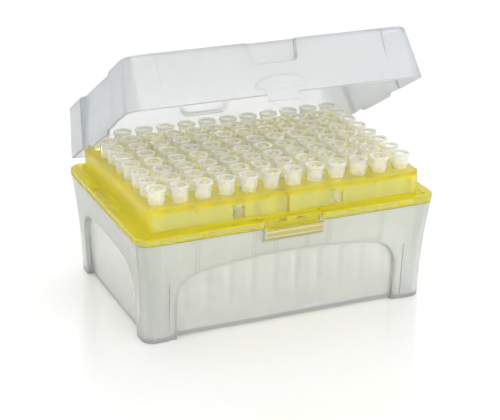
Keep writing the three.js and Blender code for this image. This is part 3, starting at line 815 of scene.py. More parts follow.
    def _pocket(self) -> Shape:
        """Make the cutter of the pocket inside the catch."""
        half, wall = self.catch_half_width - self.catch_wall, self.catch_wall
        return Shape.block("pocket", (-half, -self.catch_face + wall, self.catch_bottom + wall),
                           (half, -self.pocket_back, self.height + BEYOND))

    def _ears(self) -> Shape:
        """Make the two pairs of ears with the pins between them.

        Returns:
            The ears and pins in one mesh.
        """
        y, z, wall = self.layout.hinge_y, self.layout.hinge_z, self.wall_root
        reach, inner = self.ear_reach, self.ear_gap / 2
        strokes = [(wall, self.ear_foot), (y + reach, z - reach), (y + reach, z),
                   Arc(y, z, self.ear_turn, self.ear_steps), (self.ear_front, z + self.pin_radius),
                   (self.ear_front, self.height), (wall, self.height)]
        ears = [Shape.drawn("ear", View.SIDE, strokes, at, at + self.ear_width)
                for at in (self.ear_place + inner, self.ear_place - inner - self.ear_width)]
        reach = inner + self.ear_width / 2
        pin = Shape.drawn("pin", View.SIDE, round_about(y, z, self.pin_radius),
                          self.ear_place - reach, self.ear_place + reach)
        return ears[0].add(ears[1], pin).mirrored("X")

    def build(self) -> Shape:
        """Model the tub.

        Returns:
            The tub.
        """
        rim = Shape.slab("rim", self.corner, self.rim, self.height - self.rim_height, self.height + self.rim_height)
        tub = self.form("moulded_tub", 0, 0, self.height).rounded(self.outer_rounding, narrowed=False)
        tub.add(rim, self._catch(), self._ears())
        tub.cut(self.form("hollow", self.wall, self.floor, self.height + BEYOND))
        tub.add(self._ribs()).cut(self._pocket())
        front, low = -self.top[1] / 2 * MM, (self.catch_bottom - self.catch_wall) * MM
        # the lowest roundings keep the face material, without the painted edge shade
        tub.rounded(self.inner_rounding).painted(0, lambda place: place.z < self.wall / 2 * MM)
        tub.painted(2, lambda place: place.y < front and place.z > low
                    and abs(place.x) < (self.catch_half_width + self.catch_wall) * MM)
        return tub.smoothed()

    def marks(self, made: "Graph") -> "Socket":
        """Paint shade into the milky walls: dark outlines at the arches, darker bands on the skin round the panels,
        the ribs behind and the tips' soft shadows.

        Args:
            made: Material that is being made.

        Returns:
            How strong the painted shade is, from 0 to 1.
        """
        x, y, z = made.axes()
        across, along, pitch = x.size(), (y - self.layout.back).size(), self.tip_pitch / 2
        on_long, on_end = (place.rising(foot / 2 - self.wall_zone, soft=1)
                           for place, foot in ((along, self.foot[1]), (across, self.foot[0])))
        long_arch, end_arch = self.long_arch.outside(across, z), self.end_arch.outside(along, z)
        # painted dark outlines along the edges of the arched panels
        outline = long_arch.band(*self.outline) * on_long + end_arch.band(*self.outline) * on_end
        edges = [middle + side * self.rib_width / 2 for middle in (*self.rib_places, self.catch_rib_place)
                 for side in (-1, 1)]
        # painted dark lines at the sides of the ribs that stand behind the wall
        ribs = across.bands(edges, *self.rib_line) * long_arch.rising(1.5, soft=1) * z.rising(self.rib_foot, soft=4)
        # painted soft shadows of the tips, in columns behind the long panels
        beside = pitch - made.node("ShaderNodeMath", (x, pitch), operation="PINGPONG")
        shadow = (z.spread(*self.tip_shadow) - beside).rising(1.2, soft=1.7)
        shadow = shadow * z.rising(14, soft=8) * long_arch.falling(-1.5, soft=1)
        draft = (self.top[1] - self.foot[1]) / 2 / self.height
        skin = (along - z * draft - self.foot[1] / 2).rising(-1.3, soft=0.2)
        # painted shade on the skin round the panels, darker on the ends, fading towards the foot
        band_shade = long_arch.rising(1.2, soft=0.9) * skin * self.long_shade
        band_shade = band_shade + end_arch.rising(1.2, soft=0.9) * on_end * self.end_shade
        band_shade = band_shade.at_most(self.end_shade) * z.spread(*self.fading_foot)
        behind = ribs * self.rib_shade + shadow * self.tip_shade
        return (outline * self.outline_shade + band_shade + behind * on_long).at_most(1)

    def catch_marks(self, made: "Graph") -> "Socket":
        """Paint the rack's hooked foot onto the clear catch, as it shows yellow through it, with pale painted lines
        across it.

        Args:
            made: Material that is being made.

        Returns:
            How yellow it is, from 0 to 1.
        """
        x, _, z = made.axes()
        half = self.catch_half_width
        foot = (self.catch_shade - z.bands(self.catch_lines, *self.catch_line) * self.line_shade).at_least(0)
        return foot * x.size().spread(half - self.catch_border, half, 1, self.border_shade)


# ---- rack -----------------------------------------------------------------------------------------


@dataclass
class Rack:
    """Yellow rack: a lip over the tub's rim, a raised plate with 96 holes, and the tongue of the latch."""

    grid: TipGrid
    layout: Layout
    lip: Pair = (120.8, 84.8)
    lip_radius: float = 5.4
    lip_bottom: float = 40.4
    lip_wall: float = 0.8
    deck_top: float = 43.2
    deck_thickness: float = 1.2
    platform: Pair = (110.0, 76.0)
    platform_radius: float = 3.0
    platform_wall: float = 1.2
    plate_top: float = 52.2
    plate_thickness: float = 1.6
    hole_radius: float = 2.95
    hole_sides: int = 24
    sleeve_radius: float = 3.7
    sleeve_depth: float = 1.4
    rib_width: float = 1.0
    rib_depth: float = 2.0
    rib_places: tuple[float, ...] = (18.0, 36.0)
    tooth_width: float = 0.6
    tooth_depth: float = 0.9
    window: float = 4.7
    window_place: float = 20.0
    window_sill: float = 44.4
    pocket_depth: float = 0.35
    pocket_low: float = 40.9
    pocket_high: float = 42.5
    stiffener: float = 1.0
    long_stiffeners: tuple[float, ...] = (13.5, 35.0, 45.0, 51.0, 56.4)
    end_stiffeners: tuple[float, ...] = (-38.4, -35.0, -28.0, -16.0, 16.0, 28.0, 35.0, 38.4)
    notch_half_width: float = 11.9
    tongue_half_width: float = 10.9
    tongue_face: float = 40.85
    tongue_thickness: float = 1.2
    tongue_foot: Pair = (38.3, 39.8)
    tongue_foot_face: float = 42.7
    slot: Pair = (1.9, 5.7)
    slot_low: float = 41.7
    slot_high: float = 42.5
    notch_ridge: Triple = (1.2, 2.2, 0.7)
    notch_ridge_face: float = 40.5
    corner_ridge: Triple = (0.8, 3.6, 0.5)
    corner_ridge_setbacks: Pair = (3.7, 3.3)
    end_slot: Pair = (57.3, 59.1)
    end_slot_half_width: float = 13.3
    end_slot_floor: float = 42.3
    outer_rounding: float = 0.3
    inner_rounding: float = 0.2
    # Painted deeper yellow, for thicker plastic and for painted shade: a line by its full and its faded half-width.
    stiffener_line: Pair = (0.35, 0.7)
    rib_line: Pair = (0.3, 0.7)
    corner_line: Pair = (0.2, 0.5)
    corner_line_place: float = 4.2
    top_shade: float = 0.6
    stiffener_shade: float = 0.8
    line_shade: float = 0.5
    tongue_shade: float = 0.7

    def _shell(self) -> Shape:
        """Make the deck with its lip and the raised plate, open underneath.

        Returns:
            The shell.
        """
        deck_bottom, lip, platform = self.deck_top - self.deck_thickness, self.lip_wall, self.platform_wall
        under_lip, under_plate = [side - 2 * lip for side in self.lip], [side - 2 * platform for side in self.platform]
        shell = Shape.slab("moulded_rack", self.lip_radius, self.lip, self.lip_bottom, self.deck_top)
        shell.cut(Shape.slab("under_lip", self.lip_radius - lip, under_lip, self.lip_bottom - BEYOND, deck_bottom))
        shell.add(Shape.slab("platform", self.platform_radius, self.platform, deck_bottom, self.plate_top))
        return shell.cut(Shape.slab("under_plate", self.platform_radius - platform, under_plate, deck_bottom - BEYOND,
                                    self.plate_top - self.plate_thickness))

    def _under_ribs(self) -> list[Shape]:
        """Make the ribs under the plate, and the small teeth at the head of the long walls.

        Returns:
            The ribs and the teeth.
        """
        half = self.rib_width / 2
        reach = self.platform[1] / 2 - self.platform_wall / 2
        top = self.plate_top - self.plate_thickness / 2
        low = self.plate_top - self.plate_thickness - self.rib_depth
        ribs = [Shape.block("rib", (x - half, -reach, low), (x + half, reach, top)).mirrored("X")
                for x in self.rib_places]
        middle = Shape.block("rib", (-half, -reach, self.deck_top - self.deck_thickness), (half, reach, top))
        inner = self.platform[1] / 2 - self.platform_wall - self.tooth_depth
        first = self.grid.place(0, 0)[0]
        tooth = Shape.drawn("tooth", View.SIDE,
                            [(reach, top), (inner, top), (inner, low), (reach, low - self.tooth_depth)],
                            first - self.tooth_width / 2, first + self.tooth_width / 2)
        teeth = tooth.arrayed(self.grid.columns, (self.grid.pitch, 0, 0)).mirrored("Y")
        return [*ribs, middle, teeth]

    def _holes(self) -> Shape:
        """Make the cutter of the 96 holes."""
        low = self.plate_top - self.plate_thickness - BEYOND
        return self._cylinders("holes", self.hole_radius, low, self.plate_top + BEYOND)

    def _sleeves(self) -> Shape:
        """Make the short sleeves under the holes."""
        low = self.plate_top - self.plate_thickness - self.sleeve_depth
        return self._cylinders("sleeves", self.sleeve_radius, low, self.plate_top - self.plate_thickness / 2)

    def _cylinders(self, name: str, radius: float, low: float, high: float) -> Shape:
        """Stand a cylinder at every tip.

        Args:
            name: Name of their mesh.
            radius: Radius of each.
            low: Height of their lower ends.
            high: Height of their upper ends.

        Returns:
            All of them in one mesh.
        """
        (x, y), pitch = self.grid.place(0, 0), self.grid.pitch
        made = Shape.primitive(name, bpy.ops.mesh.primitive_cylinder_add, vertices=self.hole_sides,
                               radius=radius * MM, depth=(high - low) * MM,
                               location=(x * MM, y * MM, (low + high) / 2 * MM))
        return made.arrayed(self.grid.columns, (pitch, 0, 0)).arrayed(self.grid.rows, (0, pitch, 0))

    def _windows(self) -> Shape:
        """Make the cutter of the square windows.

        Returns:
            The cutter.
        """
        half, outer, middle = self.window / 2, self.platform[1] / 2, self.window_place
        low = (middle - half, outer - 2 * self.platform_wall, self.window_sill)
        high = (middle + half, outer + BEYOND, self.window_sill + self.window)
        return Shape.block("window", low, high).mirrored("X", "Y")

    def _lip_pockets(self) -> list[Shape]:
        """Make the cutters of the shallow pockets between the lip's stiffeners.

        Returns:
            The cutters.
        """
        half, low, high = self.stiffener / 2, self.pocket_low, self.pocket_high
        x, y = (side / 2 - self.pocket_depth for side in self.lip)
        long = [Shape.block("pocket", (left + half, y, low), (right - half, y + BEYOND, high)).mirrored("X", "Y")
                for left, right in pairwise(self.long_stiffeners)]
        ends = [Shape.block("pocket", (x, left + half, low), (x + BEYOND, right - half, high)).mirrored("X")
                for left, right in pairwise(self.end_stiffeners)]
        return long + ends

    def _notch(self) -> Shape:
        """Make the cutter that clears the deck round the tongue."""
        half = self.notch_half_width
        return Shape.block("notch", (-half, -self.lip[1] / 2 - BEYOND, self.lip_bottom - BEYOND),
                           (half, -self.tongue_face, self.deck_top + BEYOND))

    def _tongue(self) -> Shape:
        """Make the tongue with its hooked foot.

        Returns:
            The tongue.
        """
        face, back = self.tongue_face, self.tongue_face - self.tongue_thickness
        foot, instep = self.tongue_foot
        strokes = [(-back, self.deck_top), (-face, self.deck_top), (-face, instep), (-self.tongue_foot_face, instep),
                   (-self.tongue_foot_face, foot), (-back, foot)]
        return Shape.drawn("tongue", View.SIDE, strokes, -self.tongue_half_width, self.tongue_half_width)

    def _tongue_slots(self) -> Shape:
        """Make the cutter of the two slots in the tongue."""
        high = (self.slot[1], 2 * self.tongue_thickness - self.tongue_face, self.slot_high)
        return Shape.block("slot", (self.slot[0], -self.tongue_face - BEYOND, self.slot_low), high).mirrored("X")

    def _ridges(self) -> list[Shape]:
        """Make the ridges beside the notch and in the deck's corners.

        Returns:
            The ridges.
        """
        bottom = self.deck_top - self.deck_thickness / 2
        width, length, height = self.notch_ridge
        front, back = -self.notch_ridge_face, length - self.notch_ridge_face
        strokes = [(front, bottom), (back, bottom), (back, self.deck_top + height), (front, self.deck_top)]
        beside = Shape.drawn("ridge", View.SIDE, strokes, self.notch_half_width, self.notch_half_width + width)
        width, length, height = self.corner_ridge
        x, y = (side / 2 - setback for side, setback in zip(self.lip, self.corner_ridge_setbacks))
        top = self.deck_top + height
        along = Shape.block("ridge", (x - length, y - width, bottom), (x, y, top))
        across = Shape.block("ridge", (x - width, y - length, bottom), (x, y, top))
        return [beside.mirrored("X"), along.add(across).mirrored("X", "Y")]

    def _end_slots(self) -> Shape:
        """Make the cutter of the slots for the lid's end tongues."""
        (near, far), half = self.end_slot, self.end_slot_half_width
        return Shape.block("end_slot", (near, -half, self.end_slot_floor),
                           (far, half, self.deck_top + BEYOND)).mirrored("X")

    def build(self) -> Shape:
        """Model the rack.

        Returns:
            The rack.
        """
        rack = self._shell().rounded(self.outer_rounding, narrowed=False).add(*self._under_ribs(), self._sleeves())
        rack.cut(self._holes(), self._windows(), *self._lip_pockets(), self._notch(), self._end_slots())
        rack.add(self._tongue(), *self._ridges()).cut(self._tongue_slots())
        return rack.rounded(self.inner_rounding).smoothed()

    def marks(self, made: "Graph") -> "Socket":
        """Paint a deeper yellow where the plastic is thicker, at the plate, the deck, the lip's stiffeners and the
        ribs and teeth behind the walls, and painted shade on the platform's end walls.

        Args:
            made: Material that is being made.

        Returns:
            How strong the deeper yellow and the painted shade are, from 0 to 1.
        """
        x, y, z = made.axes()
        across, along, pitch = x.size(), (y - self.layout.back).size(), self.grid.pitch / 2
        plate, deck, wall = self.plate_top - self.plate_thickness, self.deck_top, self.platform[0] / 2
        # deeper yellow painted where the plate and deck are seen through more plastic
        in_plate = z.rising(plate, soft=0.6) * z.spread(self.plate_top - 0.15, self.plate_top, 1, self.top_shade)
        in_deck = z.rising(self.pocket_high + 0.3, soft=0.3) * z.falling(deck + 0.5, soft=0.4)
        on_side, on_end = along.rising(self.lip[1] / 2 - 1, soft=0.2), across.rising(self.lip[0] / 2 - 1, soft=0.2)
        stiff = across.bands(self.long_stiffeners, *self.stiffener_line) * on_side
        right = [place for place in self.end_stiffeners if place > 0]
        stiff = stiff + along.bands(right, *self.stiffener_line) * on_end
        lip = (z.falling(self.pocket_low, soft=0.15) + stiff * self.stiffener_shade) * (on_side + on_end).at_most(1)
        low = plate - self.rib_depth
        ribs = across.bands(self.rib_places, *self.rib_line) * z.rising(low, soft=0.5)
        corner = across.band(wall - self.corner_line_place, *self.corner_line) * z.rising(deck + 1, soft=0.2)
        # painted shade on the platform's end walls, with a darker line just inside them
        ends = across.rising(wall - 1, soft=0.5) + corner * self.line_shade
        beside = pitch - made.node("ShaderNodeMath", (x, pitch), operation="PINGPONG")
        teeth = beside.falling(0.3, soft=0.6) * z.rising(low + 1, soft=2)
        walls = ends + teeth * self.line_shade + ribs * self.top_shade + across.band(0, *self.rib_line)
        tongue = across.spread(self.tongue_half_width, self.notch_half_width, self.tongue_shade, 0)
        tongue = tongue * along.rising(self.tongue_face - self.tongue_thickness, soft=0.3)
        return (in_plate + in_deck + lip + walls * z.rising(deck + 0.2, soft=0.2) + tongue).at_most(1)


# ---- lid ------------------------------------------------------------------------------------------


@dataclass
class Lid:
    """Cloudy clear lid with sunken panels, stacking pockets, a finger lift, a tab and the knuckles."""

    layout: Layout
    rim_z: float = 43.5
    height: float = 20.4
    rim: Pair = (119.2, 84.0)
    draft: Pair = (2.6, 1.0)
    radius: float = 4.6
    wall: float = 1.2
    bevel: float = 0.9
    end_panel_half_width: float = 20.7
    end_panel_depth: Pair = (0.8, 2.4)
    long_panel_half_width: float = 45.0
    long_panel_depth: float = 0.8
    long_panel_foot: float = 6.0
    pocket_foot: float = 11.9
    pocket_half_widths: Pair = (9.2, 9.9)
    pocket_depth: float = 2.2
    pocket_radius: float = 2.0
    pocket_steps: int = 6
    end_tongue_half_width: float = 13.0
    end_tongue_taper: float = 1.5
    end_tongue_drop: float = 1.1
    lift: Pair = (10.3, 1.8)
    lift_middle: float = 3.1
    lift_rise: float = 4.2
    lift_fall: float = 1.1
    lift_steps: int = 48
    tab_half_width: float = 6.0
    tab_faces: Pair = (41.65, 42.55)
    tab_drop: float = 2.6
    tab_root: float = 3.4
    hook: Pair = (2.2, 6.0)
    hook_proud: float = 0.5
    hook_height: float = 1.6
    knuckle_place: float = 36.0
    knuckle_width: float = 6.0
    knuckle_radius: float = 2.6
    knuckle_bore: float = 1.5
    knuckle_steps: int = 16
    knuckle_arm_rise: float = 5.0
    arm_face: float = 43.0
    snap_gap: float = 2.0
    snap_angle: float = -60.0
    outer_rounding: float = 0.2
    inner_rounding: float = 0.35
    rounded_from: float = 46.0
    end_shade: float = 0.36

    @property
    def roof_z(self) -> float:
        """Height of the shut lid's roof."""
        return self.rim_z + self.height

    def _loft(self, name: str, inset: float) -> Shape:
        """Raise the plain lid.

        Args:
            name: Name of the mesh.
            inset: How far it is drawn in.

        Returns:
            The solid.
        """
        rim = [side - 2 * inset for side in self.rim]
        shoulder = [side - 2 * draft for side, draft in zip(rim, self.draft)]
        roof = [side - 2 * self.bevel for side in shoulder]
        top = self.roof_z - inset
        sections = [Section(self.rim_z - (BEYOND if inset else 0), *rim)]
        if inset:
            sections.append(Section(self.rim_z, *rim))
        sections += [Section(top - self.bevel, *shoulder), Section(top, *roof)]
        return Shape.lofted(name, self.radius - inset, sections)

    def _end_cuts(self, inset: float) -> Shape:
        """Make the cutter of the sunken end panels.

        Args:
            inset: How far it is let out.

        Returns:
            The cutter.
        """
        half = self.end_panel_half_width + inset
        rim = self.rim[0] / 2 - self.end_panel_depth[0] - inset
        roof = self.rim[0] / 2 - self.draft[0] - self.end_panel_depth[1] - inset
        slope = (rim - roof) / self.height
        outer = self.rim[0] / 2 + BEYOND
        low, high = self.rim_z - BEYOND, self.roof_z + BEYOND
        strokes = [(rim + slope * BEYOND, low), (outer, low), (outer, high), (roof - slope * BEYOND, high)]
        return Shape.drawn("end_panel", View.FRONT, strokes, -half, half).mirrored("X")

    def _long_cuts(self, inset: float) -> Shape:
        """Make the cutter of the panels in the long sides, which lean in above their foot.

        Args:
            inset: How far it is let out.

        Returns:
            The cutter.
        """
        half = self.long_panel_half_width + inset
        face = self.rim[1] / 2 - inset
        foot = face - self.draft[1] * self.long_panel_foot / self.height
        top = face - self.draft[1] - self.long_panel_depth
        outer = self.rim[1] / 2 + BEYOND
        low, high = self.rim_z + self.long_panel_foot, self.roof_z + BEYOND
        strokes = [(foot, low), (outer, low), (outer, high), (top, high), (top, self.roof_z)]
        return Shape.drawn("long_panel", View.SIDE, strokes, -half, half).mirrored("Y")

    def _stacking_cuts(self, inset: float) -> Shape:
        """Make the cutter of the pockets that the feet of the next box straddle.

        Args:
            inset: How far it is let out.

        Returns:
            The cutter.
        """
        narrow, wide = (half + inset for half in self.pocket_half_widths)
        bottom, curve = self.rim_z + self.pocket_foot - inset, self.pocket_radius + inset
        face = self.rim[1] / 2 - self.draft[1] - self.pocket_depth - inset
        centre, roof = narrow - curve, self.roof_z
        strokes = [(-narrow, bottom + curve), Arc(-centre, bottom + curve, 90, self.pocket_steps), (centre, bottom),
                   Arc(centre, bottom + curve, 90, self.pocket_steps), (wide, roof), (wide, roof + BEYOND),
                   (-wide, roof + BEYOND), (-wide, roof)]
        return Shape.drawn("stacking", View.FRONT, strokes, face, self.rim[1] / 2 + BEYOND).mirrored("Y")

    def form(self, name: str, inset: float) -> Shape:
        """Make the lid's outer form or, with an inset, the hollow in it."""
        return self._loft(name, inset).cut(self._end_cuts(inset), self._long_cuts(inset), self._stacking_cuts(inset))

    def _end_tongues(self) -> Shape:
        """Make the tongues under the ends of the rim.

        Returns:
            The tongues in one mesh.
        """
        half, taper = self.end_tongue_half_width, self.end_tongue_taper
        outer = self.rim[0] / 2 - self.end_panel_depth[0]
        low, root = self.rim_z - self.end_tongue_drop, self.rim_z + self.wall
        strokes = [(-half, self.rim_z), (-half + taper, low), (half - taper, low), (half, self.rim_z), (half, root),
                   (-half, root)]
        return Shape.drawn("end_tongue", View.SIDE, strokes, outer - self.wall, outer).mirrored("X")

    def _finger_lift(self) -> Shape:
        """Make the lens-shaped lift that swells out of the front wall.

        Returns:
            The lift.
        """
        middle = self.rim_z + self.lift_middle
        lift = Shape.primitive("lift", bpy.ops.mesh.primitive_uv_sphere_add, segments=self.lift_steps,
                               ring_count=self.lift_steps // 2, radius=MM)
        with lift.editing():
            for side, height in ((1, self.lift_rise), (-1, self.lift_fall)):
                lift.pick(lambda vertex: vertex.co.z * side > MERGE / 5 * MM)
                bpy.ops.transform.resize(value=(1, 1, height), center_override=(0, 0, 0))
            bpy.ops.mesh.select_all(action="SELECT")
            bpy.ops.transform.resize(value=(*self.lift, 1), center_override=(0, 0, 0))
        return lift.moved(0, -self.rim[1] / 2, middle)

    def _tab(self) -> list[Shape]:
        """Make the latch's tab with its two hooks.

        Returns:
            The tab and the hooks.
        """
        inner, outer = self.tab_faces
        low = self.rim_z - self.tab_drop
        tab = Shape.block("tab", (-self.tab_half_width, -outer, low),
                          (self.tab_half_width, -inner, self.rim_z + self.tab_root))
        hook = Shape.block("hook", (self.hook[0], -(inner + outer) / 2, low),
                           (self.hook[1], -inner + self.hook_proud, low + self.hook_height))
        return [tab, hook.mirrored("X")]

    def _knuckles(self) -> Shape:
        """Make the arms with the open knuckles that clip over the tub's pins.

        Returns:
            The arms in one mesh.
        """
        y, z, wall = self.layout.hinge_y, self.layout.hinge_z, self.rim[1] / 2 - self.wall / 2
        radius, gap = self.knuckle_radius, self.snap_gap / 2
        near, far = (self.knuckle_place + side * self.knuckle_width / 2 for side in (-1, 1))
        strokes = [(wall, self.rim_z), (self.arm_face, self.rim_z), (y, z - radius),
                   Arc(y, z, 180, self.knuckle_steps), (wall, z + self.knuckle_arm_rise)]
        arm = Shape.drawn("arm", View.SIDE, strokes, near, far)
        bore = Shape.drawn("bore", View.SIDE, round_about(y, z, self.knuckle_bore), near - BEYOND, far + BEYOND)
        snap = Shape.block("snap", (near - BEYOND, 0, -gap), (far + BEYOND, radius + BEYOND, gap))
        snap.swung(self.snap_angle, 0, 0).moved(0, y, z)
        return arm.cut(bore, snap).mirrored("X")

    def build(self) -> Shape:
        """Model the lid shut and swing it open.

        Returns:
            The lid.
        """
        lid = self.form("moulded_lid", 0).rounded(self.outer_rounding, self.rounded_from, narrowed=False)
        lid.add(self._finger_lift()).cut(self.form("hollow", self.wall))
        lid.add(self._end_tongues(), *self._tab(), self._knuckles())
        lid.rounded(self.inner_rounding)
        return lid.swung(-self.layout.open_angle, self.layout.hinge_y, self.layout.hinge_z).smoothed()

    def marks(self, made: "Graph") -> "Socket":
        """Paint shade onto the ends, which come out darker than the rest."""
        across = self.rim[0] / 2 - self.end_panel_depth[1] - self.draft[0]
        return made.axes()[0].size().spread(across - 1, across, 0, self.end_shade)


# ---- materials ------------------------------------------------------------------------------------


class Socket:
    """Number, vector or shader on its way through a node tree; sums with numbers add their Math nodes."""

    def __init__(self, graph: "Graph", socket: bpy.types.NodeSocket) -> None:
        """Hold one output of one node."""
        self.graph = graph
        self.socket = socket

    def _math(self, operation: str, *values: "Socket | float") -> "Socket":
        """Add a Math node."""
        return self.graph.node("ShaderNodeMath", values, operation=operation)

    def __add__(self, other: "Socket | float") -> "Socket":
        """Add."""
        return self._math("ADD", self, other)

    def __sub__(self, other: "Socket | float") -> "Socket":
        """Subtract."""
        return self._math("SUBTRACT", self, other)

    def __rsub__(self, other: "Socket | float") -> "Socket":
        """Subtract this from a number."""
        return self._math("SUBTRACT", other, self)

    def __mul__(self, other: "Socket | float") -> "Socket":
        """Multiply."""
        return self._math("MULTIPLY", self, other)

    __radd__ = __add__
    __rmul__ = __mul__

    def size(self) -> "Socket":
        """Give the number without its sign."""
        return self._math("ABSOLUTE", self)

    def at_least(self, low: float) -> "Socket":
        """Keep the number from falling under a limit."""
        return self._math("MAXIMUM", self, low)

    def at_most(self, high: float) -> "Socket":
        """Keep the number from rising over a limit."""
        return self._math("MINIMUM", self, high)

    def joined(self, other: "Socket") -> "Socket":
        """Give the length of a step that goes this far one way and the other number across."""
        return self._math("SQRT", self * self + other * other)

    def spread(self, low: float, high: float, to_low: float, to_high: float) -> "Socket":
        """Map the range from low to high onto another and stop at its ends."""
        return self.graph.node("ShaderNodeMapRange", (self, low, high, to_low, to_high), clamp=True)

    def rising(self, full: float, soft: float) -> "Socket":
        """Rise from 0 to 1 over a soft stretch that ends at a place."""
        return self.spread(full - soft, full, 0, 1)

    def falling(self, last: float, soft: float) -> "Socket":
        """Fall from 1 to 0 over a soft stretch that starts at a place."""
        return self.spread(last, last + soft, 1, 0)

    def band(self, middle: float, inner: float, outer: float) -> "Socket":
        """Draw a line at a place: 1 up to the inner distance from it and 0 from the outer one."""
        return (self - middle).size().spread(inner, outer, 1, 0)

    def bands(self, middles: Sequence[float], inner: float, outer: float) -> "Socket":
        """Draw such a line at each of several places."""
        return sum(self.band(middle, inner, outer) for middle in middles)


class Graph:
    """Node tree that is made from Python expressions."""

    def __init__(self, owner: bpy.types.Material | bpy.types.World) -> None:
        """Empty a node tree.

        Args:
            owner: Material or world whose tree it is.
        """
        owner.use_nodes = True
        self.owner = owner
        self.tree = owner.node_tree
        self.tree.nodes.clear()

    def node(self, kind: str, values: Sequence[object] | dict[str, object] = (), output: int | str = 0,
             **settings: object) -> Socket | None:
        """Add any node.

        Args:
            kind: Type of the node.
            values: Values or links of its sockets, in order or by name.
            output: Which of its outputs is wanted.
            settings: Settings by name, made before the sockets.

        Returns:
            The output, if the node has any.
        """
        made = self.tree.nodes.new(kind)
        for name, setting in settings.items():
            setattr(made, name, setting)
        for key, value in (values.items() if isinstance(values, dict) else enumerate(values)):
            if isinstance(value, Socket):
                self.tree.links.new(value.socket, made.inputs[key])
            else:
                made.inputs[key].default_value = value
        return Socket(self, made.outputs[output]) if made.outputs else None

    def blend(self, share: Socket, first: Sequence[float] | Socket, second: Sequence[float]) -> Socket:
        """Mix a share of the second colour into the first."""
        first = first if isinstance(first, Socket) else (*first, 1)
        return self.node("ShaderNodeMix", {0: share, 6: first, 7: (*second, 1)}, 2, data_type="RGBA")

    def place(self) -> Socket:
        """Place on the piece, in metres."""
        return self.node("ShaderNodeTexCoord", output="Object")

    def axes(self) -> tuple[Socket, Socket, Socket]:
        """Place on the piece along X, Y and Z, in mm."""
        return tuple(self.node("ShaderNodeSeparateXYZ", (self.place(),), axis) * (1 / MM) for axis in "XYZ")

    def noise(self, size: float, detail: float) -> Socket:
        """Soft random pattern from 0 to 1, with blotches of a size in mm and so many finer layers."""
        return self.node("ShaderNodeTexNoise", {"Vector": self.place(), "Scale": 1 / (size * MM), "Detail": detail})

    def bump(self, height: Socket, distance: float) -> Socket:
        """Turn a height into a normal; the distance is what a height of 1 stands for, in mm."""
        return self.node("ShaderNodeBump", {"Height": height, "Distance": distance * MM}, "Normal")

    def absorb(self, colour: Sequence[float]) -> Socket:
        """Fill the solid with what swallows light.

        Args:
            colour: Colour that light keeps after a millimetre.

        Returns:
            The volume.
        """
        most = max(-math.log(share) for share in colour)
        shades = (*(1 + math.log(share) / most for share in colour), 1)
        return self.node("ShaderNodeVolumeAbsorption", {"Color": shades, "Density": most / MM})

    def principled(self, surface: dict[str, object], **filling: Socket) -> bpy.types.Material:
        """Close a material with its Principled node, given that node's sockets by name and any volume."""
        self.node("ShaderNodeOutputMaterial", {"Surface": self.node("ShaderNodeBsdfPrincipled", surface), **filling})
        return self.owner


@dataclass(frozen=True)
class MouldedPlastic:
    """See-through or milky plastic as it comes out of a mould.

    Attributes:
        name: Name of the material.
        tint: Colour of its skin.
        edge: Colour of its skin on the roundings, which the marks also blend towards; on the tub and lid it is a
            darker painted shade, standing for the dark that the roundings refract, and on the rack a deeper yellow.
        inside: Colour that light keeps after a millimetre of the plastic.
        haze: Share of light that the skin scatters; the rest goes in.
        edge_haze: The same on the roundings.
        gloss: Roughness of the polished and of the dull patches.
        grain: Height of the skin's fine grain, in mm.
        index: Refractive index.
        cloud: Size of the clouds in it, in mm.
        cloudiness: How much darker the clouds are.
        grain_size: Size of the grain, in mm.
    """

    name: str
    tint: Triple
    edge: Triple
    inside: Triple
    haze: float
    edge_haze: float
    gloss: Pair
    grain: float
    index: float = 1.49
    cloud: float = 14.0
    cloudiness: float = 0.012
    grain_size: float = 0.35

    def on_edges(self) -> "MouldedPlastic":
        """Give the finish of the roundings."""
        return replace(self, name=f"{self.name}_edge", tint=self.edge, haze=self.edge_haze)

    def material(self, marks: Callable[[Graph], Socket] | None = None) -> bpy.types.Material:
        """Build the node material.

        Args:
            marks: What paints marks in it, which blend the skin towards the edge colour.

        Returns:
            The material.
        """
        made = Graph(bpy.data.materials.new(self.name))
        clouds = made.noise(self.cloud, detail=3).rising(0.7, soft=0.4)
        flow = made.noise(self.cloud / 3, detail=2).rising(0.65, soft=0.3)
        colour = made.blend(clouds, self.tint, [channel - self.cloudiness for channel in self.tint])
        if marks:
            colour = made.blend(marks(made), colour, self.edge)
        polished, dull = self.gloss
        surface = {"Base Color": colour, "Roughness": polished + (dull - polished) * flow,
                   "Transmission Weight": 1 - self.haze, "IOR": self.index,
                   "Normal": made.bump(made.noise(self.grain_size, detail=1), self.grain)}
        return made.principled(surface, Volume=made.absorb(self.inside))

    def materials(self, marks: Callable[[Graph], Socket] | None = None) -> list[bpy.types.Material]:
        """Build the materials of the faces and of the roundings."""
        return [self.material(marks), self.on_edges().material()]


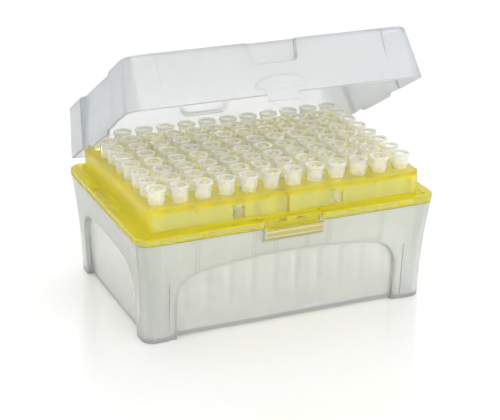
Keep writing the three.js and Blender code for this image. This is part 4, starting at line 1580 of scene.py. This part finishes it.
class Finish(Enum):
    """Finishes of the mouldings; the catch is a clearer part of the tub."""

    # The edge colours are painted: a darker painted shade for the tub's and lid's roundings and marks, a deeper yellow
    # for the rack's, and the yellow of the rack's foot as the catch shows it through.
    TUB = MouldedPlastic("milky_polypropylene", (0.99, 0.991, 0.989), (0.66, 0.7, 0.67), (0.992, 0.994, 0.989),
                         0.34, 0.55, (0.2, 0.26), 0.004)
    CATCH = MouldedPlastic("clear_catch", (0.97, 0.975, 0.965), (0.72, 0.62, 0.06), (0.992, 0.995, 0.989),
                           0.36, 0.4, (0.1, 0.14), 0.002, index=1.2)
    RACK = MouldedPlastic("yellow_polypropylene", (0.965, 0.957, 0.65), (0.98, 0.935, 0.06), (0.992, 0.98, 0.42),
                          0.14, 0.45, (0.29, 0.35), 0.004)
    LID = MouldedPlastic("cloudy_polypropylene", (0.947, 0.951, 0.958), (0.6, 0.64, 0.67), (0.975, 0.979, 0.984),
                         0.25, 0.7, (0.3, 0.37), 0.004)
    TIP = MouldedPlastic("clear_polypropylene", (0.999, 0.999, 0.998), (0.999, 0.999, 0.999), (0.999, 0.999, 0.998),
                         0.24, 0.4, (0.2, 0.26), 0.002, index=1.2, cloud=5, cloudiness=0.001)


# ---- room -----------------------------------------------------------------------------------------


def added_to_scene(data: bpy.types.Camera | bpy.types.Light) -> bpy.types.Object:
    """Put a camera or lamp into the scene.

    Args:
        data: The camera or lamp.

    Returns:
        Its object.
    """
    made = bpy.data.objects.new(data.name, data)
    bpy.context.scene.collection.objects.link(made)
    return made


@dataclass
class Studio:
    """Pale floor, white surroundings, soft lamps and the camera."""

    azimuth: float = -23.608
    elevation: float = 21.988
    roll: float = 0.456
    lens: float = 108.97
    sight: float = 100.0
    eye: Triple = (-220.611, -510.483, 253.532)
    floor_size: float = 6000.0
    floor_colour: Triple = (0.97, 0.97, 0.97)
    floor_gloss: float = 0.15
    floor_index: float = 1.7
    sky: float = 0.93
    bounces: int = 40
    # Place, side and power of each lamp.
    lamps: tuple[tuple[Triple, float, float], ...] = (
        ((250, -1000, 420), 1000, 2.8), ((200, 700, 1000), 1200, 3.8))

    def camera(self) -> None:
        """Set up the camera."""
        data = bpy.data.cameras.new("camera")
        data.lens = self.lens
        data.clip_end = self.sight
        made = added_to_scene(data)
        turn = Euler((math.radians(90 - self.elevation), 0, math.radians(self.azimuth))).to_matrix()
        turn = turn @ Matrix.Rotation(math.radians(self.roll), 3, "Z")
        made.matrix_world = Matrix.Translation(Vector(self.eye) * MM) @ turn.to_4x4()
        bpy.context.scene.camera = made

    def world(self) -> None:
        """Light the room evenly; the camera and mirrored or refracted rays see plain white."""
        bpy.context.scene.world = bpy.data.worlds.new("studio")
        made = Graph(bpy.context.scene.world)
        seen = sum(made.node("ShaderNodeLightPath", output=f"Is {ray} Ray")
                   for ray in ("Camera", "Glossy", "Transmission"))
        strength = seen.spread(0, 1, self.sky, 1)
        made.node("ShaderNodeOutputWorld", [made.node("ShaderNodeBackground", ((1, 1, 1, 1), strength))])

    def floor(self) -> None:
        """Lay the pale, faintly glossy floor."""
        floor = Shape.primitive("floor", bpy.ops.mesh.primitive_plane_add, size=self.floor_size * MM)
        surface = {"Base Color": (*self.floor_colour, 1), "Roughness": self.floor_gloss, "IOR": self.floor_index}
        floor.object.data.materials.append(Graph(bpy.data.materials.new("floor")).principled(surface))

    def lights(self) -> None:
        """Hang the soft lamps."""
        for index, (place, size, power) in enumerate(self.lamps):
            data = bpy.data.lights.new(f"lamp_{index}", "AREA")
            data.size = size * MM
            data.energy = power
            made = added_to_scene(data)
            made.location = Vector(place) * MM
            made.rotation_euler = (-Vector(place)).to_track_quat("-Z", "Y").to_euler()

    def build(self) -> None:
        """Set up the room."""
        self.camera()
        self.world()
        self.floor()
        self.lights()
        scene = bpy.context.scene
        scene.view_settings.view_transform = "Standard"
        for limit in ("max", "diffuse", "glossy", "transmission", "transparent_max"):
            setattr(scene.cycles, f"{limit}_bounces", self.bounces)
        scene.cycles.blur_glossy = 0
        scene.cycles.sample_clamp_indirect = 0


# ---- whole ----------------------------------------------------------------------------------------


def place_piece(shape: Shape, layout: Layout, finish: Sequence[bpy.types.Material], body: str,
                node: str) -> None:
    """Set a modelled piece down in the frame and dress it.

    Args:
        shape: The piece.
        layout: Where the frame has things.
        finish: Materials of its faces and of its roundings.
        body: Body that it moves with.
        node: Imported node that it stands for.
    """
    shape.moved(0, layout.back, 0)
    for index, material in enumerate(finish):
        shape.object.data.materials[index] = material
    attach(shape.object, body)
    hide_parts(node)
    LOG.info("%s: %d faces, rides on %s", shape.object.name, len(shape.object.data.polygons), body)


def main() -> None:
    """Build and dress the box of tips, then the room."""
    logging.basicConfig(level=logging.INFO, format="%(name)s %(message)s")
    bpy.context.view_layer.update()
    grid = TipGrid(Tip())
    layout = Layout.read(grid.pitch)
    tub, rack, lid = Tub(layout), Rack(grid, layout), Lid(layout)
    tip_finish = Finish.TIP.value.materials()
    milky = [*Finish.TUB.value.materials(tub.marks), Finish.CATCH.value.material(tub.catch_marks)]
    place_piece(tub.build(), layout, milky, "box", "tub")
    place_piece(rack.build(), layout, Finish.RACK.value.materials(rack.marks), "box", "tip_rack")
    place_piece(lid.build(), layout, Finish.LID.value.materials(lid.marks), "lid", "lid")
    for label, tip in grid.build().items():
        loose = f"tip_{label}" in frame["nodes"]
        place_piece(tip, layout, tip_finish, "box", f"tip_{label}" if loose else "tip_rack")
    Studio().build()


if __name__ == "__main__":
    main()
